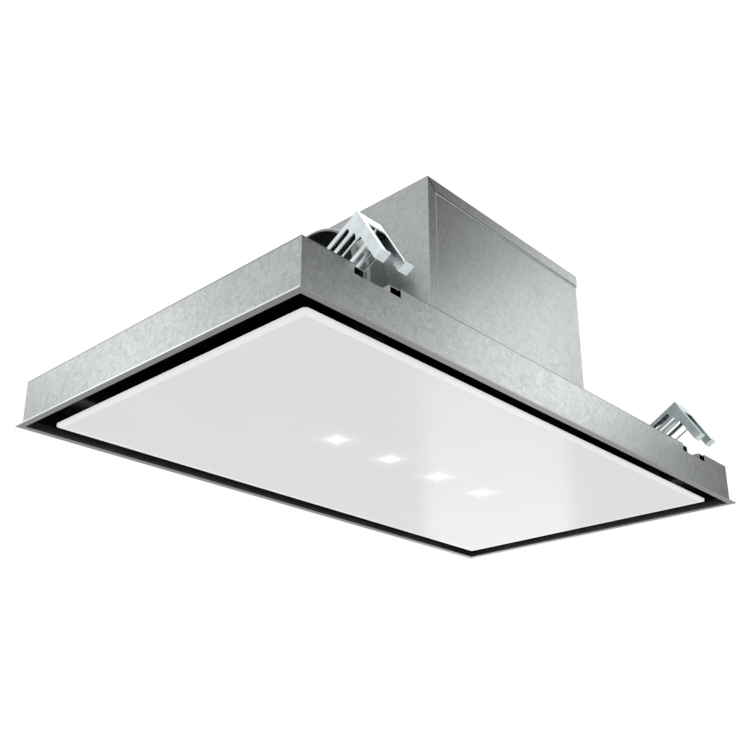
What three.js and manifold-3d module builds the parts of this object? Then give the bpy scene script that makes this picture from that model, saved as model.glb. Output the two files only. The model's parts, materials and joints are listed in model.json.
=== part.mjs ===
// Ceiling range hood, in millimetres, with +Z up and the long side along X.
// The origin is the plan centre of the hood, on the plane of the trim lip's lower face.

import * as THREE from "three";
import * as BufferGeometryUtils from "three/addons/utils/BufferGeometryUtils.js";
import Module from "manifold-3d";

const wasm = await Module();
wasm.setup();

// ---------------------------------------------------------------- driving dimensions

// Shared stock and clearances
const sheet = 1.2; // folded steel of the frame, deck, recess and motor box
const fit = 0.3; // gap between neighbouring pieces
const pinPlay = 0.3; // radial play of a pin in its hole

// Trim lip
const lipLength = 900;
const lipDepth = 500;
const lipThickness = 1.5;
const lipUpstand = 10; // top of its inner upstand
const lipBorder = 6.2; // lip's outer edge to the frame wall
const lipSeat = 0.3; // how deep the frame walls sit in the lip

// Frame
const frameTop = 58.8;
const flangeWidth = 14;
const flangeMitre = 0.8; // saw cut between two flanges at a corner
const notchFromEnd = 104.4; // frame wall's outer face to the notch's middle, along X
const notchWidth = 68;
const notchFloor = 48;
const notchSplay = 5.7; // how far the flange's cut narrows inwards, on each side

// Recess
const ceilingHeight = 30;

// Grease filters
const filterWidth = 296;
const filterDepth = 260;
const filterThickness = 9.5;
const filterRim = 10;
const filterLedge = 4; // inner ledges that hold the mesh
const filterLip = 1.2;
const filterPlay = 1.5; // filter to its opening
const filterBar = 8; // bar between the two openings
const meshThickness = 3;
const meshColumns = 6;
const meshRows = 5;
const meshStrand = 6;
const seatWidth = 6; // ledge above the filter's rim
const filterPivotDrop = 3.6; // below the recess ceiling
const filterPivotOut = 3; // beyond the filter's far edge
const filterBarrel = 3;
const filterPin = 1.5;
const filterBarrelLength = 14;
const filterBarrelSpacing = 200;
const clipThickness = 1.5;
const pullWidth = 40;
const pullDrop = 6;

// Cover panel
const panelEndMargin = 35.5; // lip's outer edge to the panel's end
const panelSideMargin = 30.5; // lip's outer edge to the panel's long side
const panelCorner = 6;
const panelRise = 1.4; // lip's lower face to the glass's lower face
const glassThickness = 4;
const glassFacetWidth = 9;
const glassFacetHeight = 0.5;
const trayInset = 12.5;
const trayFlange = 6;
const trayThickness = 1;
const trayTop = 20;
const trayCorner = 4;

// Lamps
const lampSpacing = 100;
const lampWindow = 20;
const lampShoulder = 26;
const lampShoulderHeight = 3;

// Panel hinges and catches
const hingeFromEnd = 114.5; // panel's end to the hinge's middle, along X
const hingeFromSide = 7.5; // panel's far side to the hinge pin
const hingeZ = 15;
const hingeKnuckle = 4.5;
const hingeKnuckleLength = 16;
const hingePinRadius = 2.5;
const hingeHead = 1.5; // thickness of the pin's head, and how far it stands out
const hingeRivet = 1; // thickness of the pin's riveted end, and how far it stands out
const hingeEar = 6;
const hingeEarThickness = 2;
const hingePlateLength = 44;
const hingePlateDepth = 20;
const catchFromEnd = 114.5; // panel's end to the magnet's middle, along X
const catchFromSide = 29.5; // panel's near side to the magnet's middle
const catchLength = 44;
const catchDepth = 14;

// Ceiling clamps
const clampSetback = 92.8; // frame wall's outer face to the pivot
const clampPivotZ = 59.5;
const clampTilt = 30.4; // leg above the horizontal, in degrees
const clampWidth = 36;
const clampSheet = 1.5;
const clampReach = 105.6; // pivot to the outer face, along the leg
const clampLeg = 29;
const clampNose = 7.6; // pivot to the leg's front edge and end
const clampArmWidth = 12;
const clampArmLength = 66;
const clampWeb = 17; // closed part of the web, from the apex
const clampWebNear = 5; // web strip left beside the first cheek
const clampWebFar = 2.5;
const clampToe = 13; // foot, along X
const clampSlotOneFrom = 24;
const clampSlotOneTo = 87;
const clampSlotOneBack = 5.4; // leg's back edge to the slot
const clampSlotOneWidth = 7.4;
const clampSlotTwoFrom = 26;
const clampSlotTwoTo = 90;
const clampSlotTwoFront = 2; // leg's front edge to the slot
const clampSlotTwoWidth = 9;
const clampBoltRadius = 4;
const clampHeadRadius = 6.5;
const clampHeadHeight = 4;
const clampBoltEnd = 1; // thread beyond the nut
const baseSetback = 117.8; // frame wall's outer face to the pocket's inner end
const baseEar = 10;
const baseFlange = 8;

// Motor box
const boxWidth = 339;
const boxFront = -172.3;
const boxBack = 168;
const boxTop = 299;
const boxTopBorder = 15;
const boxSideBorder = 14.5;
const boxMitre = 0.8;
const boxFoot = 14; // bottom flanges, on the deck

// Duct collar
const ductY = -27.2;
const ductZ = 175;
const ductRadius = 75;
const ductEnd = -228;
const ductBead = -200;
const ductBeadHeight = 3;
const ductBeadWidth = 5;
const ductRim = 4.5;
const ductRimWidth = 3;
const ductFlange = 9;

// Non-return flaps
const flapSpindleX = -182;
const flapSpindleRadius = 1.5;
const flapThickness = 1.2;
const flapPlay = 1.5;
const flapKnuckle = 3;
const flapKnuckleReach = 62;
const flapSplit = 2; // the two knuckles keep this far from mid-height

// Fan
const fanX = 38;
const fanY = 31.8;
const scrollBottom = 100;
const scrollTop = 250;
const scrollWall = 2.5;
const scrollStart = 95; // radius at the tongue
const scrollGrowth = 39; // radius gained from the tongue to the outlet
const scrollStep = 10; // degrees
const outletWidth = 150;
const tongueRound = 8;
const motorHole = 62;
const impellerRadius = 88;
const impellerEye = 72; // inner radius of the blade ring
const impellerBottom = 108;
const impellerPlate = 222;
const impellerPlateThickness = 2.5;
const impellerRing = 4;
const impellerHub = 14;
const impellerHubLength = 50;
const bladeCount = 34;
const bladeThickness = 1.4;
const bladeTipSetback = 0.5; // impeller's rim to a blade's tip
const bladeRoot = 0.5; // how far a blade reaches into the lower ring
const bladeSweep = 9; // degrees from the eye to the tip
const bladeBow = 3.5; // how far a blade bulges backwards
const shaftRadius = 5;
const shaftOverhang = 4; // beyond the impeller's hub
const inletRadius = 75.7;
const inletMouth = 112;
const inletFlange = 6;
const inletWall = 1.6;
const inletThroat = 6; // how far the throat reaches into the scroll
const motorRadius = 58;
const motorFlange = 70;
const motorFlangeThickness = 3;
const motorHeight = 34; // above the scroll
const motorDrop = 14; // below the scroll's top
const mountRadius = 8;
const mountOffset = 60;

// Electrics
const controlBox = { x: -152, y: 66, width: 70, depth: 82, height: 96 };
const controlLid = 1.5;
const controlLidHeight = 12;
const ledDriver = { x: 62, y: -160, width: 90, depth: 40, height: 24 };
const driverFoot = 8;
const driverFootThickness = 2;
const glandX = -117;
const glandZ = 205;
const glandBore = 4.5;
const glandThread = 8;
const glandThreadDepth = 1;
const glandNut = 12;
const glandNutHeight = 5;
const glandCap = 10;
const glandCapHeight = 9;

// Facets of round forms
const fineFacets = 48;
const facets = 24;
const smallFacets = 12;
const arcFacets = 4; // on a corner or the end of a slot
const bladeFacets = 3; // along each face of a blade

// ---------------------------------------------------------------- derived levels

const wallX = lipLength / 2 - lipBorder; // outer faces of the frame
const wallY = lipDepth / 2 - lipBorder;
const innerX = wallX - sheet; // inner faces of the frame
const innerY = wallY - sheet;
const notchCentre = wallX - notchFromEnd;
const panelLength = lipLength - 2 * panelEndMargin;
const panelDepth = lipDepth - 2 * panelSideMargin;
const hingeX = panelLength / 2 - hingeFromEnd;
const hingeY = panelDepth / 2 - hingeFromSide;
const catchX = panelLength / 2 - catchFromEnd;
const catchY = catchFromSide - panelDepth / 2;
const clampPivotY = clampSetback - wallY;
const baseEnd = baseSetback - wallY; // inner end of the pocket, on Y
const deckTop = frameTop - sheet;
const boxHalf = boxWidth / 2;
const pivotY = filterDepth / 2 + filterPivotOut;
const pivotZ = ceilingHeight - filterPivotDrop;
const filterCentre = filterBar / 2 + filterPlay + filterWidth / 2;
const glassTop = panelRise + glassThickness;
const outletY = ductY - outletWidth / 2; // outer wall of the fan's outlet
const shaftEnd = impellerPlate - impellerHubLength - shaftOverhang;
const clampEar = clampWidth / 2 + fit + sheet; // outer face of a base's ear, from the clamp's middle

// ---------------------------------------------------------------- solids

const X = new THREE.Vector3(1, 0, 0);
const Y = new THREE.Vector3(0, 1, 0);
const Z = new THREE.Vector3(0, 0, 1);
const bases = { x: [Y, Z, X], y: [X, Z, Y], z: [X, Y, Z] };
const weldTolerance = 1e-4;

// A closed solid from a geometry, with its faces turned outwards.
function toSolid(geometry) {
  const bare = geometry.clone();
  bare.deleteAttribute("normal");
  bare.deleteAttribute("uv");
  const welded = BufferGeometryUtils.mergeVertices(bare, weldTolerance);
  const position = welded.attributes.position;
  const corners = [0, 1, 2].map(() => new THREE.Vector3());
  const triangles = [];
  let volume = 0;
  for (let i = 0; i < welded.index.count; i += 3) {
    const triangle = [0, 1, 2].map((k) => welded.index.getX(i + k));
    if (new Set(triangle).size < 3) continue;
    triangles.push(triangle);
    corners.forEach((corner, k) => corner.fromBufferAttribute(position, triangle[k]));
    volume += corners[0].dot(corners[1].cross(corners[2]));
  }
  if (volume < 0) triangles.forEach((triangle) => triangle.reverse());
  return new wasm.Manifold(new wasm.Mesh({
    numProp: 3,
    vertProperties: new Float32Array(position.array),
    triVerts: new Uint32Array(triangles.flat()),
  }));
}

function toGeometry(solid) {
  const mesh = solid.getMesh();
  const geometry = new THREE.BufferGeometry();
  geometry.setAttribute("position", new THREE.BufferAttribute(mesh.vertProperties, 3));
  geometry.setIndex(new THREE.BufferAttribute(mesh.triVerts, 1));
  geometry.computeVertexNormals();
  return geometry;
}

function join(...solids) {
  return solids.reduce((whole, next) => whole.add(next));
}

function cut(solid, ...tools) {
  return tools.reduce((whole, tool) => whole.subtract(tool), solid);
}

// A block between two limits on each axis.
function block([x0, x1], [y0, y1], [z0, z1]) {
  const geometry = new THREE.BoxGeometry();
  const position = geometry.attributes.position;
  for (let i = 0; i < position.count; i += 1) {
    position.setXYZ(i, position.getX(i) < 0 ? x0 : x1, position.getY(i) < 0 ? y0 : y1, position.getZ(i) < 0 ? z0 : z1);
  }
  return toSolid(geometry);
}

// A flat shape pushed along an axis. Its own axes are Y,Z for x, X,Z for y and X,Y for z.
function extrude(shape, axis, from, to, curveSegments = arcFacets) {
  const geometry = new THREE.ExtrudeGeometry(shape, { depth: 1, bevelEnabled: false, curveSegments });
  const position = geometry.attributes.position;
  for (let i = 0; i < position.count; i += 1) position.setZ(i, position.getZ(i) < 0.5 ? from : to);
  geometry.applyMatrix4(new THREE.Matrix4().makeBasis(...bases[axis]));
  return toSolid(geometry);
}

// A profile of [radius, position] points turned about an axis through a centre.
function revolve(profile, axis, centre, segments = facets) {
  const points = profile.map(([radius, along]) => new THREE.Vector2(radius, along));
  const geometry = new THREE.LatheGeometry([...points, points[0]], segments);
  const [u, v, w] = bases[axis];
  geometry.applyMatrix4(new THREE.Matrix4().makeBasis(u, w, v));
  geometry.translate(...centre);
  return toSolid(geometry);
}

function rod(axis, radius, from, to, centre, segments = smallFacets) {
  return revolve([[0, from], [radius, from], [radius, to], [0, to]], axis, centre, segments);
}

function polygon(points) {
  return new THREE.Shape(points.map(([u, v]) => new THREE.Vector2(u, v)));
}

function roundedRectangle(halfU, halfV, radius) {
  const shape = new THREE.Shape();
  shape.absarc(halfU - radius, halfV - radius, radius, 0, Math.PI / 2);
  shape.absarc(radius - halfU, halfV - radius, radius, Math.PI / 2, Math.PI);
  shape.absarc(radius - halfU, radius - halfV, radius, Math.PI, 1.5 * Math.PI);
  shape.absarc(halfU - radius, radius - halfV, radius, 1.5 * Math.PI, 2 * Math.PI);
  shape.closePath();
  return shape;
}

// A slot with round ends along the first axis of its plane.
function slotShape(fromU, toU, fromV, toV) {
  const radius = (toV - fromV) / 2;
  const middle = (fromV + toV) / 2;
  const shape = new THREE.Shape();
  shape.absarc(toU - radius, middle, radius, -Math.PI / 2, Math.PI / 2);
  shape.absarc(fromU + radius, middle, radius, Math.PI / 2, 1.5 * Math.PI);
  shape.closePath();
  return shape;
}

// A rectangular ring in plan, with its outer faces at the given half lengths.
function ring(halfX, halfY, width, [z0, z1]) {
  const outer = block([-halfX, halfX], [-halfY, halfY], [z0, z1]);
  const innerHalfX = halfX - width;
  const innerHalfY = halfY - width;
  return cut(outer, block([-innerHalfX, innerHalfX], [-innerHalfY, innerHalfY], [z0 - 1, z1 + 1]));
}

// ---------------------------------------------------------------- looks

const finishes = {
  galvanised: { color: 0xa9abaa, roughness: 0.42, metalness: 0.9 },
  brushed: { color: 0x8f9092, roughness: 0.35, metalness: 0.95 },
  zinc: { color: 0xc3cbca, roughness: 0.3, metalness: 0.9 },
  blackEnamel: { color: 0x0c0d0e, roughness: 0.12, metalness: 0.2 },
  blackPlastic: { color: 0x17181a, roughness: 0.5, metalness: 0 },
  greyPlastic: { color: 0x3a3d40, roughness: 0.55, metalness: 0 },
  whiteGlass: { color: 0xf0f1f2, roughness: 0.08, metalness: 0 },
  lampLens: { color: 0xffffff, roughness: 0.3, metalness: 0 },
  aluminium: { color: 0xb7babd, roughness: 0.4, metalness: 0.95 },
  rubber: { color: 0x1d1d1e, roughness: 0.9, metalness: 0 },
};

const hood = new THREE.Group();
hood.name = "ceiling_range_hood";

function place(name, solid, finish, parent = hood) {
  const mesh = new THREE.Mesh(toGeometry(solid), new THREE.MeshStandardMaterial(finishes[finish]));
  mesh.name = name;
  parent.add(mesh);
  return mesh;
}

// ---------------------------------------------------------------- frame and recess

// The four clamp notches, as [x, side] with side -1 for the near wall and 1 for the far wall.
const notches = [[-notchCentre, -1], [notchCentre, -1], [-notchCentre, 1], [notchCentre, 1]];

// Lip: a flat border under the ceiling, a shallow seat for the frame walls and an upstand inside them.
function lipProfile() {
  const upstandX = innerX - fit;
  const upstandY = innerY - fit;
  const borderX = lipLength / 2 - (upstandX - sheet);
  const border = cut(
    block([-lipLength / 2, lipLength / 2], [-lipDepth / 2, lipDepth / 2], [0, lipThickness]),
    block([borderX - lipLength / 2, lipLength / 2 - borderX], [sheet - upstandY, upstandY - sheet], [-1, lipUpstand]),
  );
  const seatX = wallX + fit;
  const seatY = wallY + fit;
  const seat = block([-seatX, seatX], [-seatY, seatY], [lipThickness - lipSeat, lipThickness + 1]);
  return join(cut(border, seat), ring(upstandX, upstandY, sheet, [lipThickness / 2, lipUpstand]));
}

// Frame: four walls with an inward top flange, mitred at the corners and notched for the clamps.
function frameWalls() {
  const walls = ring(wallX, wallY, sheet, [lipThickness - lipSeat, frameTop]);
  const flange = ring(wallX, wallY, flangeWidth, [deckTop, frameTop]);
  const mitre = new THREE.BoxGeometry(flangeMitre, 2 * flangeWidth, flangeWidth);
  const cuts = [];
  for (const sideX of [-1, 1]) {
    for (const sideY of [-1, 1]) {
      const corner = mitre.clone();
      corner.rotateZ(-sideX * sideY * Math.PI / 4);
      corner.translate(sideX * (innerX - flangeWidth), sideY * (innerY - flangeWidth), frameTop);
      cuts.push(toSolid(corner));
    }
  }
  for (const [x, side] of notches) {
    const half = notchWidth / 2;
    const inside = side * (wallY - flangeWidth - 1);
    const outside = side * (wallY + 1);
    const wallInside = side * (innerY - 1);
    const trapezoid = polygon([
      [x - half, outside], [x + half, outside], [x + half, wallInside],
      [x + half - notchSplay, inside], [x - half + notchSplay, inside], [x - half, wallInside],
    ]);
    cuts.push(extrude(trapezoid, "z", notchFloor, frameTop + 1));
  }
  return cut(join(walls, flange), ...cuts);
}

// Hinge clip of a filter: two ears and a pin under the recess ceiling.
function filterClip(x) {
  const half = filterBarrelLength / 2 + fit;
  const ears = [-1, 1].map((side) => {
    const span = [x + side * half, x + side * (half + clipThickness)].sort((a, b) => a - b);
    return join(
      block(span, [pivotY - filterPin, pivotY + filterBarrel], [pivotZ, ceilingHeight + sheet / 2]),
      rod("x", filterBarrel, span[0], span[1], [0, pivotY, pivotZ]),
    );
  });
  const reach = half + clipThickness / 2;
  return join(...ears, rod("x", filterPin, x - reach, x + reach, [0, pivotY, pivotZ]));
}

// Recess: black ceiling with a side skirt, and a seat with an upstand round each filter.
function recessTray() {
  const skirtX = innerX - fit;
  const skirtY = innerY - fit;
  const skirt = ring(skirtX, skirtY, sheet, [lipUpstand, ceilingHeight + sheet]);
  const ceiling = block([-skirtX, skirtX], [-skirtY, skirtY], [ceilingHeight, ceilingHeight + sheet]);
  const openHalf = filterDepth / 2 + filterPlay;
  const openWide = filterWidth / 2 + filterPlay;
  const seat = ceilingHeight + filterThickness + fit;
  let tray = join(skirt, ceiling);
  for (const side of [-1, 1]) {
    const x = side * filterCentre;
    const outerX = [x - openWide - sheet, x + openWide + sheet];
    const outerY = [-openHalf - sheet, openHalf + sheet];
    tray = join(tray, block(outerX, outerY, [ceilingHeight, seat + sheet]));
  }
  for (const side of [-1, 1]) {
    const x = side * filterCentre;
    tray = cut(
      tray,
      block([x - openWide, x + openWide], [-openHalf, openHalf], [ceilingHeight - 1, seat]),
      block(
        [x - openWide + seatWidth, x + openWide - seatWidth],
        [seatWidth - openHalf, openHalf - seatWidth],
        [seat - 1, seat + sheet + 1],
      ),
    );
    for (const hingeSide of [-1, 1]) {
      tray = join(tray, filterClip(x + hingeSide * filterBarrelSpacing / 2));
    }
  }
  return tray;
}

// Room for a clamp's bolt, cut from what lies beside the base's ears.
function boltClearance(x, side) {
  const reach = clampEar + clampHeadHeight + clampBoltEnd + fit;
  const middle = -side * clampPivotY;
  const half = clampHeadRadius + fit;
  return block([x - reach, x + reach], [middle - half, middle + half], [deckTop - 2 * sheet, frameTop + 1]);
}

// Deck between the frame and the motor box, open under the fan and at each clamp pocket.
function topDeck() {
  const halfX = innerX - fit;
  const halfY = innerY - fit;
  const plate = block([-halfX, halfX], [-halfY, halfY], [deckTop - sheet, deckTop]);
  const inlet = rod("z", inletMouth - inletWall, deckTop - 2 * sheet, deckTop + 1, [fanX, fanY, 0], fineFacets);
  const pocketHalf = clampEar + fit;
  const pockets = notches.flatMap(([x, side]) => {
    const span = [side * (wallY + 1), side * (-baseEnd - fit)].sort((a, b) => a - b);
    return [
      block([x - pocketHalf, x + pocketHalf], span, [deckTop - 2 * sheet, deckTop + 1]),
      boltClearance(x, side),
    ];
  });
  return cut(plate, inlet, ...pockets);
}

// ---------------------------------------------------------------- ceiling clamps

// Clamp bracket: two slotted L-shaped cheeks, a web along the outer edge and a foot on each cheek.
// It is drawn with the leg along the first axis, from the pivot, and then tilted.
function clampBracket(side) {
  const back = clampLeg - clampNose;
  const armInner = clampReach - clampArmWidth;
  const armEnd = back - clampArmLength;
  const outline = new THREE.Shape();
  outline.moveTo(0, -clampNose);
  outline.lineTo(armInner, -clampNose);
  outline.lineTo(armInner, armEnd);
  outline.lineTo(clampReach, armEnd);
  outline.lineTo(clampReach, back);
  outline.lineTo(clampNose, back);
  outline.lineTo(-clampNose, clampNose);
  outline.lineTo(-clampNose, 0);
  outline.absarc(0, 0, clampNose, Math.PI, 1.5 * Math.PI);
  const slotOneTop = back - clampSlotOneBack;
  const slotTwoBottom = clampSlotTwoFront - clampNose;
  const openings = [
    slotShape(clampSlotOneFrom, clampSlotOneTo, slotOneTop - clampSlotOneWidth, slotOneTop),
    polygon([
      [clampSlotTwoFrom, slotTwoBottom], [clampSlotTwoTo - clampSlotTwoWidth / 4, slotTwoBottom],
      [clampSlotTwoTo, slotTwoBottom + clampSlotTwoWidth / 2], [clampSlotTwoTo, slotTwoBottom + clampSlotTwoWidth],
      [clampSlotTwoFrom, slotTwoBottom + clampSlotTwoWidth],
    ]),
  ];
  const half = clampWidth / 2;
  const hole = rod("x", clampBoltRadius + pinPlay, -half - 1, half + 1, [0, 0, 0]);
  const cheeks = [[-half, clampSheet - half], [half - clampSheet, half]].map(([from, to]) => {
    const cheek = extrude(outline, "x", from, to);
    return cut(cheek, hole, ...openings.map((shape) => extrude(shape, "x", from - 1, to + 1)));
  });
  const webSpan = [clampReach - clampSheet, clampReach];
  const window = block(
    [clampSheet + clampWebNear - half, half - clampSheet - clampWebFar],
    [webSpan[0] - 1, webSpan[1] + 1],
    [armEnd - 1, back - clampWeb],
  );
  const web = cut(block([-half, half], webSpan, [armEnd, back]), window);
  const feet = [-half, half - clampSheet].map((x) =>
    block([x, x + clampToe], [armInner, clampReach], [armEnd - clampSheet, armEnd + clampSheet / 2]));
  const geometry = toGeometry(join(...cheeks, web, ...feet));
  geometry.rotateX(THREE.MathUtils.degToRad(clampTilt));
  geometry.scale(1, side, 1);
  return toSolid(geometry);
}

// Clamp base: a pocket behind the notch, with two ears for the bolt and flanges on the deck.
function clampBase(side) {
  const inside = clampWidth / 2 + fit;
  const outside = clampEar;
  const from = -(innerY - fit);
  const span = [from, baseEnd];
  const floor = notchFloor - sheet;
  const shell = cut(
    block([-outside, outside], span, [floor, deckTop]),
    block([-inside, inside], [from - 1, baseEnd - sheet], [notchFloor, deckTop + 1]),
  );
  const flangeFrom = flangeWidth + fit - wallY;
  const flange = cut(
    block([-outside - baseFlange, outside + baseFlange], [flangeFrom, baseEnd + baseFlange], [deckTop, frameTop]),
    block([-inside, inside], [flangeFrom - 1, baseEnd - sheet], [deckTop - 1, frameTop + 1]),
    boltClearance(0, -1),
  );
  const ears = [[-outside, -inside], [inside, outside]].map(([x0, x1]) => join(
    rod("x", baseEar, x0, x1, [0, clampPivotY, clampPivotZ]),
    block([x0, x1], [clampPivotY - baseEar, clampPivotY + baseEar], [floor, clampPivotZ]),
  ));
  const hole = rod("x", clampBoltRadius + pinPlay, -outside - 1, outside + 1, [0, clampPivotY, clampPivotZ]);
  const geometry = toGeometry(cut(join(shell, flange, ...ears), hole));
  geometry.scale(1, side, 1);
  return toSolid(geometry);
}

// Clamp bolt: a shank across the ears, with a round head and a hexagonal nut.
function clampBolt() {
  const ear = clampEar;
  const centre = [0, 0, 0];
  return join(
    rod("x", clampBoltRadius, -ear, ear + clampHeadHeight + clampBoltEnd, centre),
    rod("x", clampHeadRadius, -ear - clampHeadHeight, -ear, centre),
    rod("x", clampHeadRadius, ear, ear + clampHeadHeight, centre, 6),
  );
}

function addClamps() {
  notches.forEach(([x, side], index) => {
    const number = index + 1;
    const clamp = new THREE.Group();
    clamp.position.set(x, 0, 0);
    hood.add(clamp);
    const pivot = [0, -side * clampPivotY, clampPivotZ];
    place(`clamp_bracket_${number}`, clampBracket(side), "zinc", clamp).position.set(...pivot);
    place(`clamp_bolt_${number}`, clampBolt(), "zinc", clamp).position.set(...pivot);
    place(`clamp_base_${number}`, clampBase(-side), "galvanised", clamp);
  });
}

// ---------------------------------------------------------------- motor box and duct

// Motor box shell: top, left side and back, with mitred borders in front and feet on the deck.
function motorBoxShell() {
  const walls = [
    block([-boxHalf, boxHalf], [boxFront, boxBack], [boxTop - sheet, boxTop]),
    block([-boxHalf, sheet - boxHalf], [boxFront, boxBack], [deckTop, boxTop]),
    block([-boxHalf, boxHalf], [boxBack - sheet, boxBack], [deckTop, boxTop]),
    block([-boxHalf, boxHalf], [boxFront, boxFront + sheet], [boxTop - boxTopBorder, boxTop]),
    block([-boxHalf, boxSideBorder - boxHalf], [boxFront, boxFront + sheet], [deckTop, boxTop]),
    block([-boxHalf, boxFoot - boxHalf], [boxFront, boxBack], [deckTop, frameTop]),
    block([-boxHalf, boxHalf], [boxBack - boxFoot, boxBack], [deckTop, frameTop]),
  ];
  const mitre = new THREE.BoxGeometry(boxMitre, 2 * sheet, 2 * boxTopBorder);
  mitre.rotateY(Math.PI / 4);
  mitre.translate(boxTopBorder - boxHalf, boxFront, boxTop - boxTopBorder);
  const ductHole = rod("x", ductRadius + fit, -boxHalf - 1, 2 * sheet - boxHalf, [0, ductY, ductZ], fineFacets);
  const glandHole = rod("y", glandThread + fit, boxBack - 2 * sheet, boxBack + 1, [glandX, 0, glandZ]);
  const relief = block([sheet - boxHalf, boxTopBorder - boxHalf], [boxFront - 1, boxFront + sheet], [
    boxTop - boxTopBorder, boxTop - sheet,
  ]);
  const corner = toSolid(mitre).intersect(relief);
  return cut(join(...walls), corner, ductHole, glandHole);
}

// Motor box cover: front and right side in one folded sheet, set behind the shell's borders.
function motorBoxCover() {
  const front = boxFront + sheet;
  const right = boxHalf - sheet;
  const top = boxTop - sheet - fit;
  const left = sheet + fit - boxHalf;
  const back = boxBack - sheet - fit;
  const whole = join(
    block([left, right], [front, front + sheet], [frameTop + fit, top]),
    block([right - sheet, right], [front, back], [deckTop, top]),
    block([boxFoot - boxHalf + fit, right], [front, front + sheet], [deckTop, frameTop + 1]),
  );
  const footClear = block([right - 2 * sheet, right + 1], [boxBack - boxFoot - fit, boxBack], [deckTop - 1, frameTop + fit]);
  return cut(whole, footClear);
}

// Duct collar: flanged inside the box, with a bead and a turned rim, and bores for the spindle.
function ductCollar() {
  const start = sheet - boxHalf;
  const beadHalf = ductBeadWidth / 2;
  const inner = ductRadius - sheet;
  const profile = [
    [inner, start + sheet], [inner, ductEnd], [ductRadius + ductRim, ductEnd],
    [ductRadius + ductRim, ductEnd + ductRimWidth], [ductRadius, ductEnd + ductRimWidth + ductRim],
    [ductRadius, ductBead - beadHalf - ductBeadHeight / 2], [ductRadius + ductBeadHeight, ductBead - beadHalf / 2],
    [ductRadius + ductBeadHeight, ductBead + beadHalf / 2], [ductRadius, ductBead + beadHalf + ductBeadHeight / 2],
    [ductRadius, start], [ductRadius + ductFlange, start], [ductRadius + ductFlange, start + sheet],
  ];
  const collar = revolve(profile, "x", [0, ductY, ductZ], fineFacets);
  const bore = flapSpindleRadius + fit / 2;
  return cut(collar, rod("z", bore, ductZ - 2 * ductRadius, ductZ + 2 * ductRadius, [flapSpindleX, ductY, 0]));
}

// One flap: half a disc on a knuckle round the spindle. Side -1 is the near half.
function flap(side) {
  const radius = ductRadius - sheet - flapPlay;
  const lower = side < 0 ? -flapKnuckleReach : flapSplit;
  const upper = side < 0 ? -flapSplit : flapKnuckleReach;
  const half = new THREE.Shape();
  half.absarc(0, 0, radius, -Math.PI / 2, Math.PI / 2);
  half.closePath();
  const disc = extrude(half, "x", -flapThickness / 2, flapThickness / 2, facets);
  const spine = flapKnuckle + flapPlay;
  const trimmed = cut(
    disc,
    block([-flapKnuckle, flapKnuckle], [-1, spine], [-radius - 1, lower]),
    block([-flapKnuckle, flapKnuckle], [-1, spine], [upper, radius + 1]),
  );
  const knuckle = rod("z", flapKnuckle, lower, upper, [0, 0, 0]);
  const whole = cut(join(trimmed, knuckle), rod("z", flapSpindleRadius + pinPlay, -radius, radius, [0, 0, 0]));
  const geometry = toGeometry(whole);
  geometry.scale(1, side, 1);
  return toSolid(geometry);
}

function addDuct() {
  place("duct_collar", ductCollar(), "galvanised");
  const reach = ductRadius + flapSpindleRadius;
  place("flap_spindle", rod("z", flapSpindleRadius, -reach, reach, [0, 0, 0]), "zinc")
    .position.set(flapSpindleX, ductY, ductZ);
  place("flap_near", flap(-1), "blackPlastic").position.set(flapSpindleX, ductY, ductZ);
  place("flap_far", flap(1), "blackPlastic").position.set(flapSpindleX, ductY, ductZ);
}

// ---------------------------------------------------------------- fan

// Plan of the volute, grown outwards by a margin: a spiral from the tongue round to the outlet.
function volute(margin, outletEnd) {
  const outletTop = outletY + outletWidth - fanY + margin;
  const tongue = Math.PI - Math.asin(outletTop / (scrollStart + margin));
  const sweep = tongue + Math.PI / 2;
  const steps = Math.ceil(THREE.MathUtils.radToDeg(sweep) / scrollStep);
  const at = (share) => {
    const angle = tongue - share * sweep;
    const radius = scrollStart + margin + scrollGrowth * share;
    return [radius * Math.cos(angle), radius * Math.sin(angle)];
  };
  const end = outletEnd - fanX;
  const bottom = at(1)[1];
  const [tongueX] = at(0);
  const shape = new THREE.Shape();
  shape.moveTo(end, bottom);
  shape.lineTo(end, outletTop);
  shape.lineTo(tongueX - tongueRound, outletTop);
  shape.quadraticCurveTo(tongueX, outletTop, ...at(1 / steps));
  for (let i = 2; i <= steps; i += 1) shape.lineTo(...at(i / steps));
  shape.closePath();
  return shape;
}

// Scroll housing, open at the outlet, at the inlet below and round the motor above.
function fanScroll() {
  const end = 2 * sheet + fit - boxHalf;
  const body = extrude(volute(scrollWall, end), "z", scrollBottom, scrollTop);
  const air = extrude(volute(0, end - 1), "z", scrollBottom + scrollWall, scrollTop - scrollWall);
  const inlet = rod("z", inletRadius + fit, scrollBottom - 1, scrollBottom + 2 * scrollWall, [0, 0, 0], fineFacets);
  const motor = rod("z", motorHole, scrollTop - 2 * scrollWall, scrollTop + 1, [0, 0, 0], fineFacets);
  return cut(body, air, inlet, motor);
}

// Bell mouth from the deck up into the scroll.
function inletRing() {
  const rise = scrollBottom - deckTop - inletWall;
  const steps = 4;
  const bell = (shift) => Array.from({ length: steps + 1 }, (_, i) => {
    const angle = (i / steps) * Math.PI / 2;
    const across = inletMouth - inletRadius;
    return [
      inletMouth - (across + shift) * Math.cos(angle),
      scrollBottom - (rise + shift) * Math.sin(angle),
    ];
  });
  const throat = scrollBottom + scrollWall + inletThroat / 2;
  const outer = bell(0);
  const inner = bell(inletWall).reverse();
  return revolve([
    [inletRadius, throat], ...outer, [inletMouth + inletFlange, deckTop + inletWall],
    [inletMouth + inletFlange, deckTop], ...inner, [inletRadius - inletWall, throat],
  ], "z", [0, 0, 0]);
}

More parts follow.
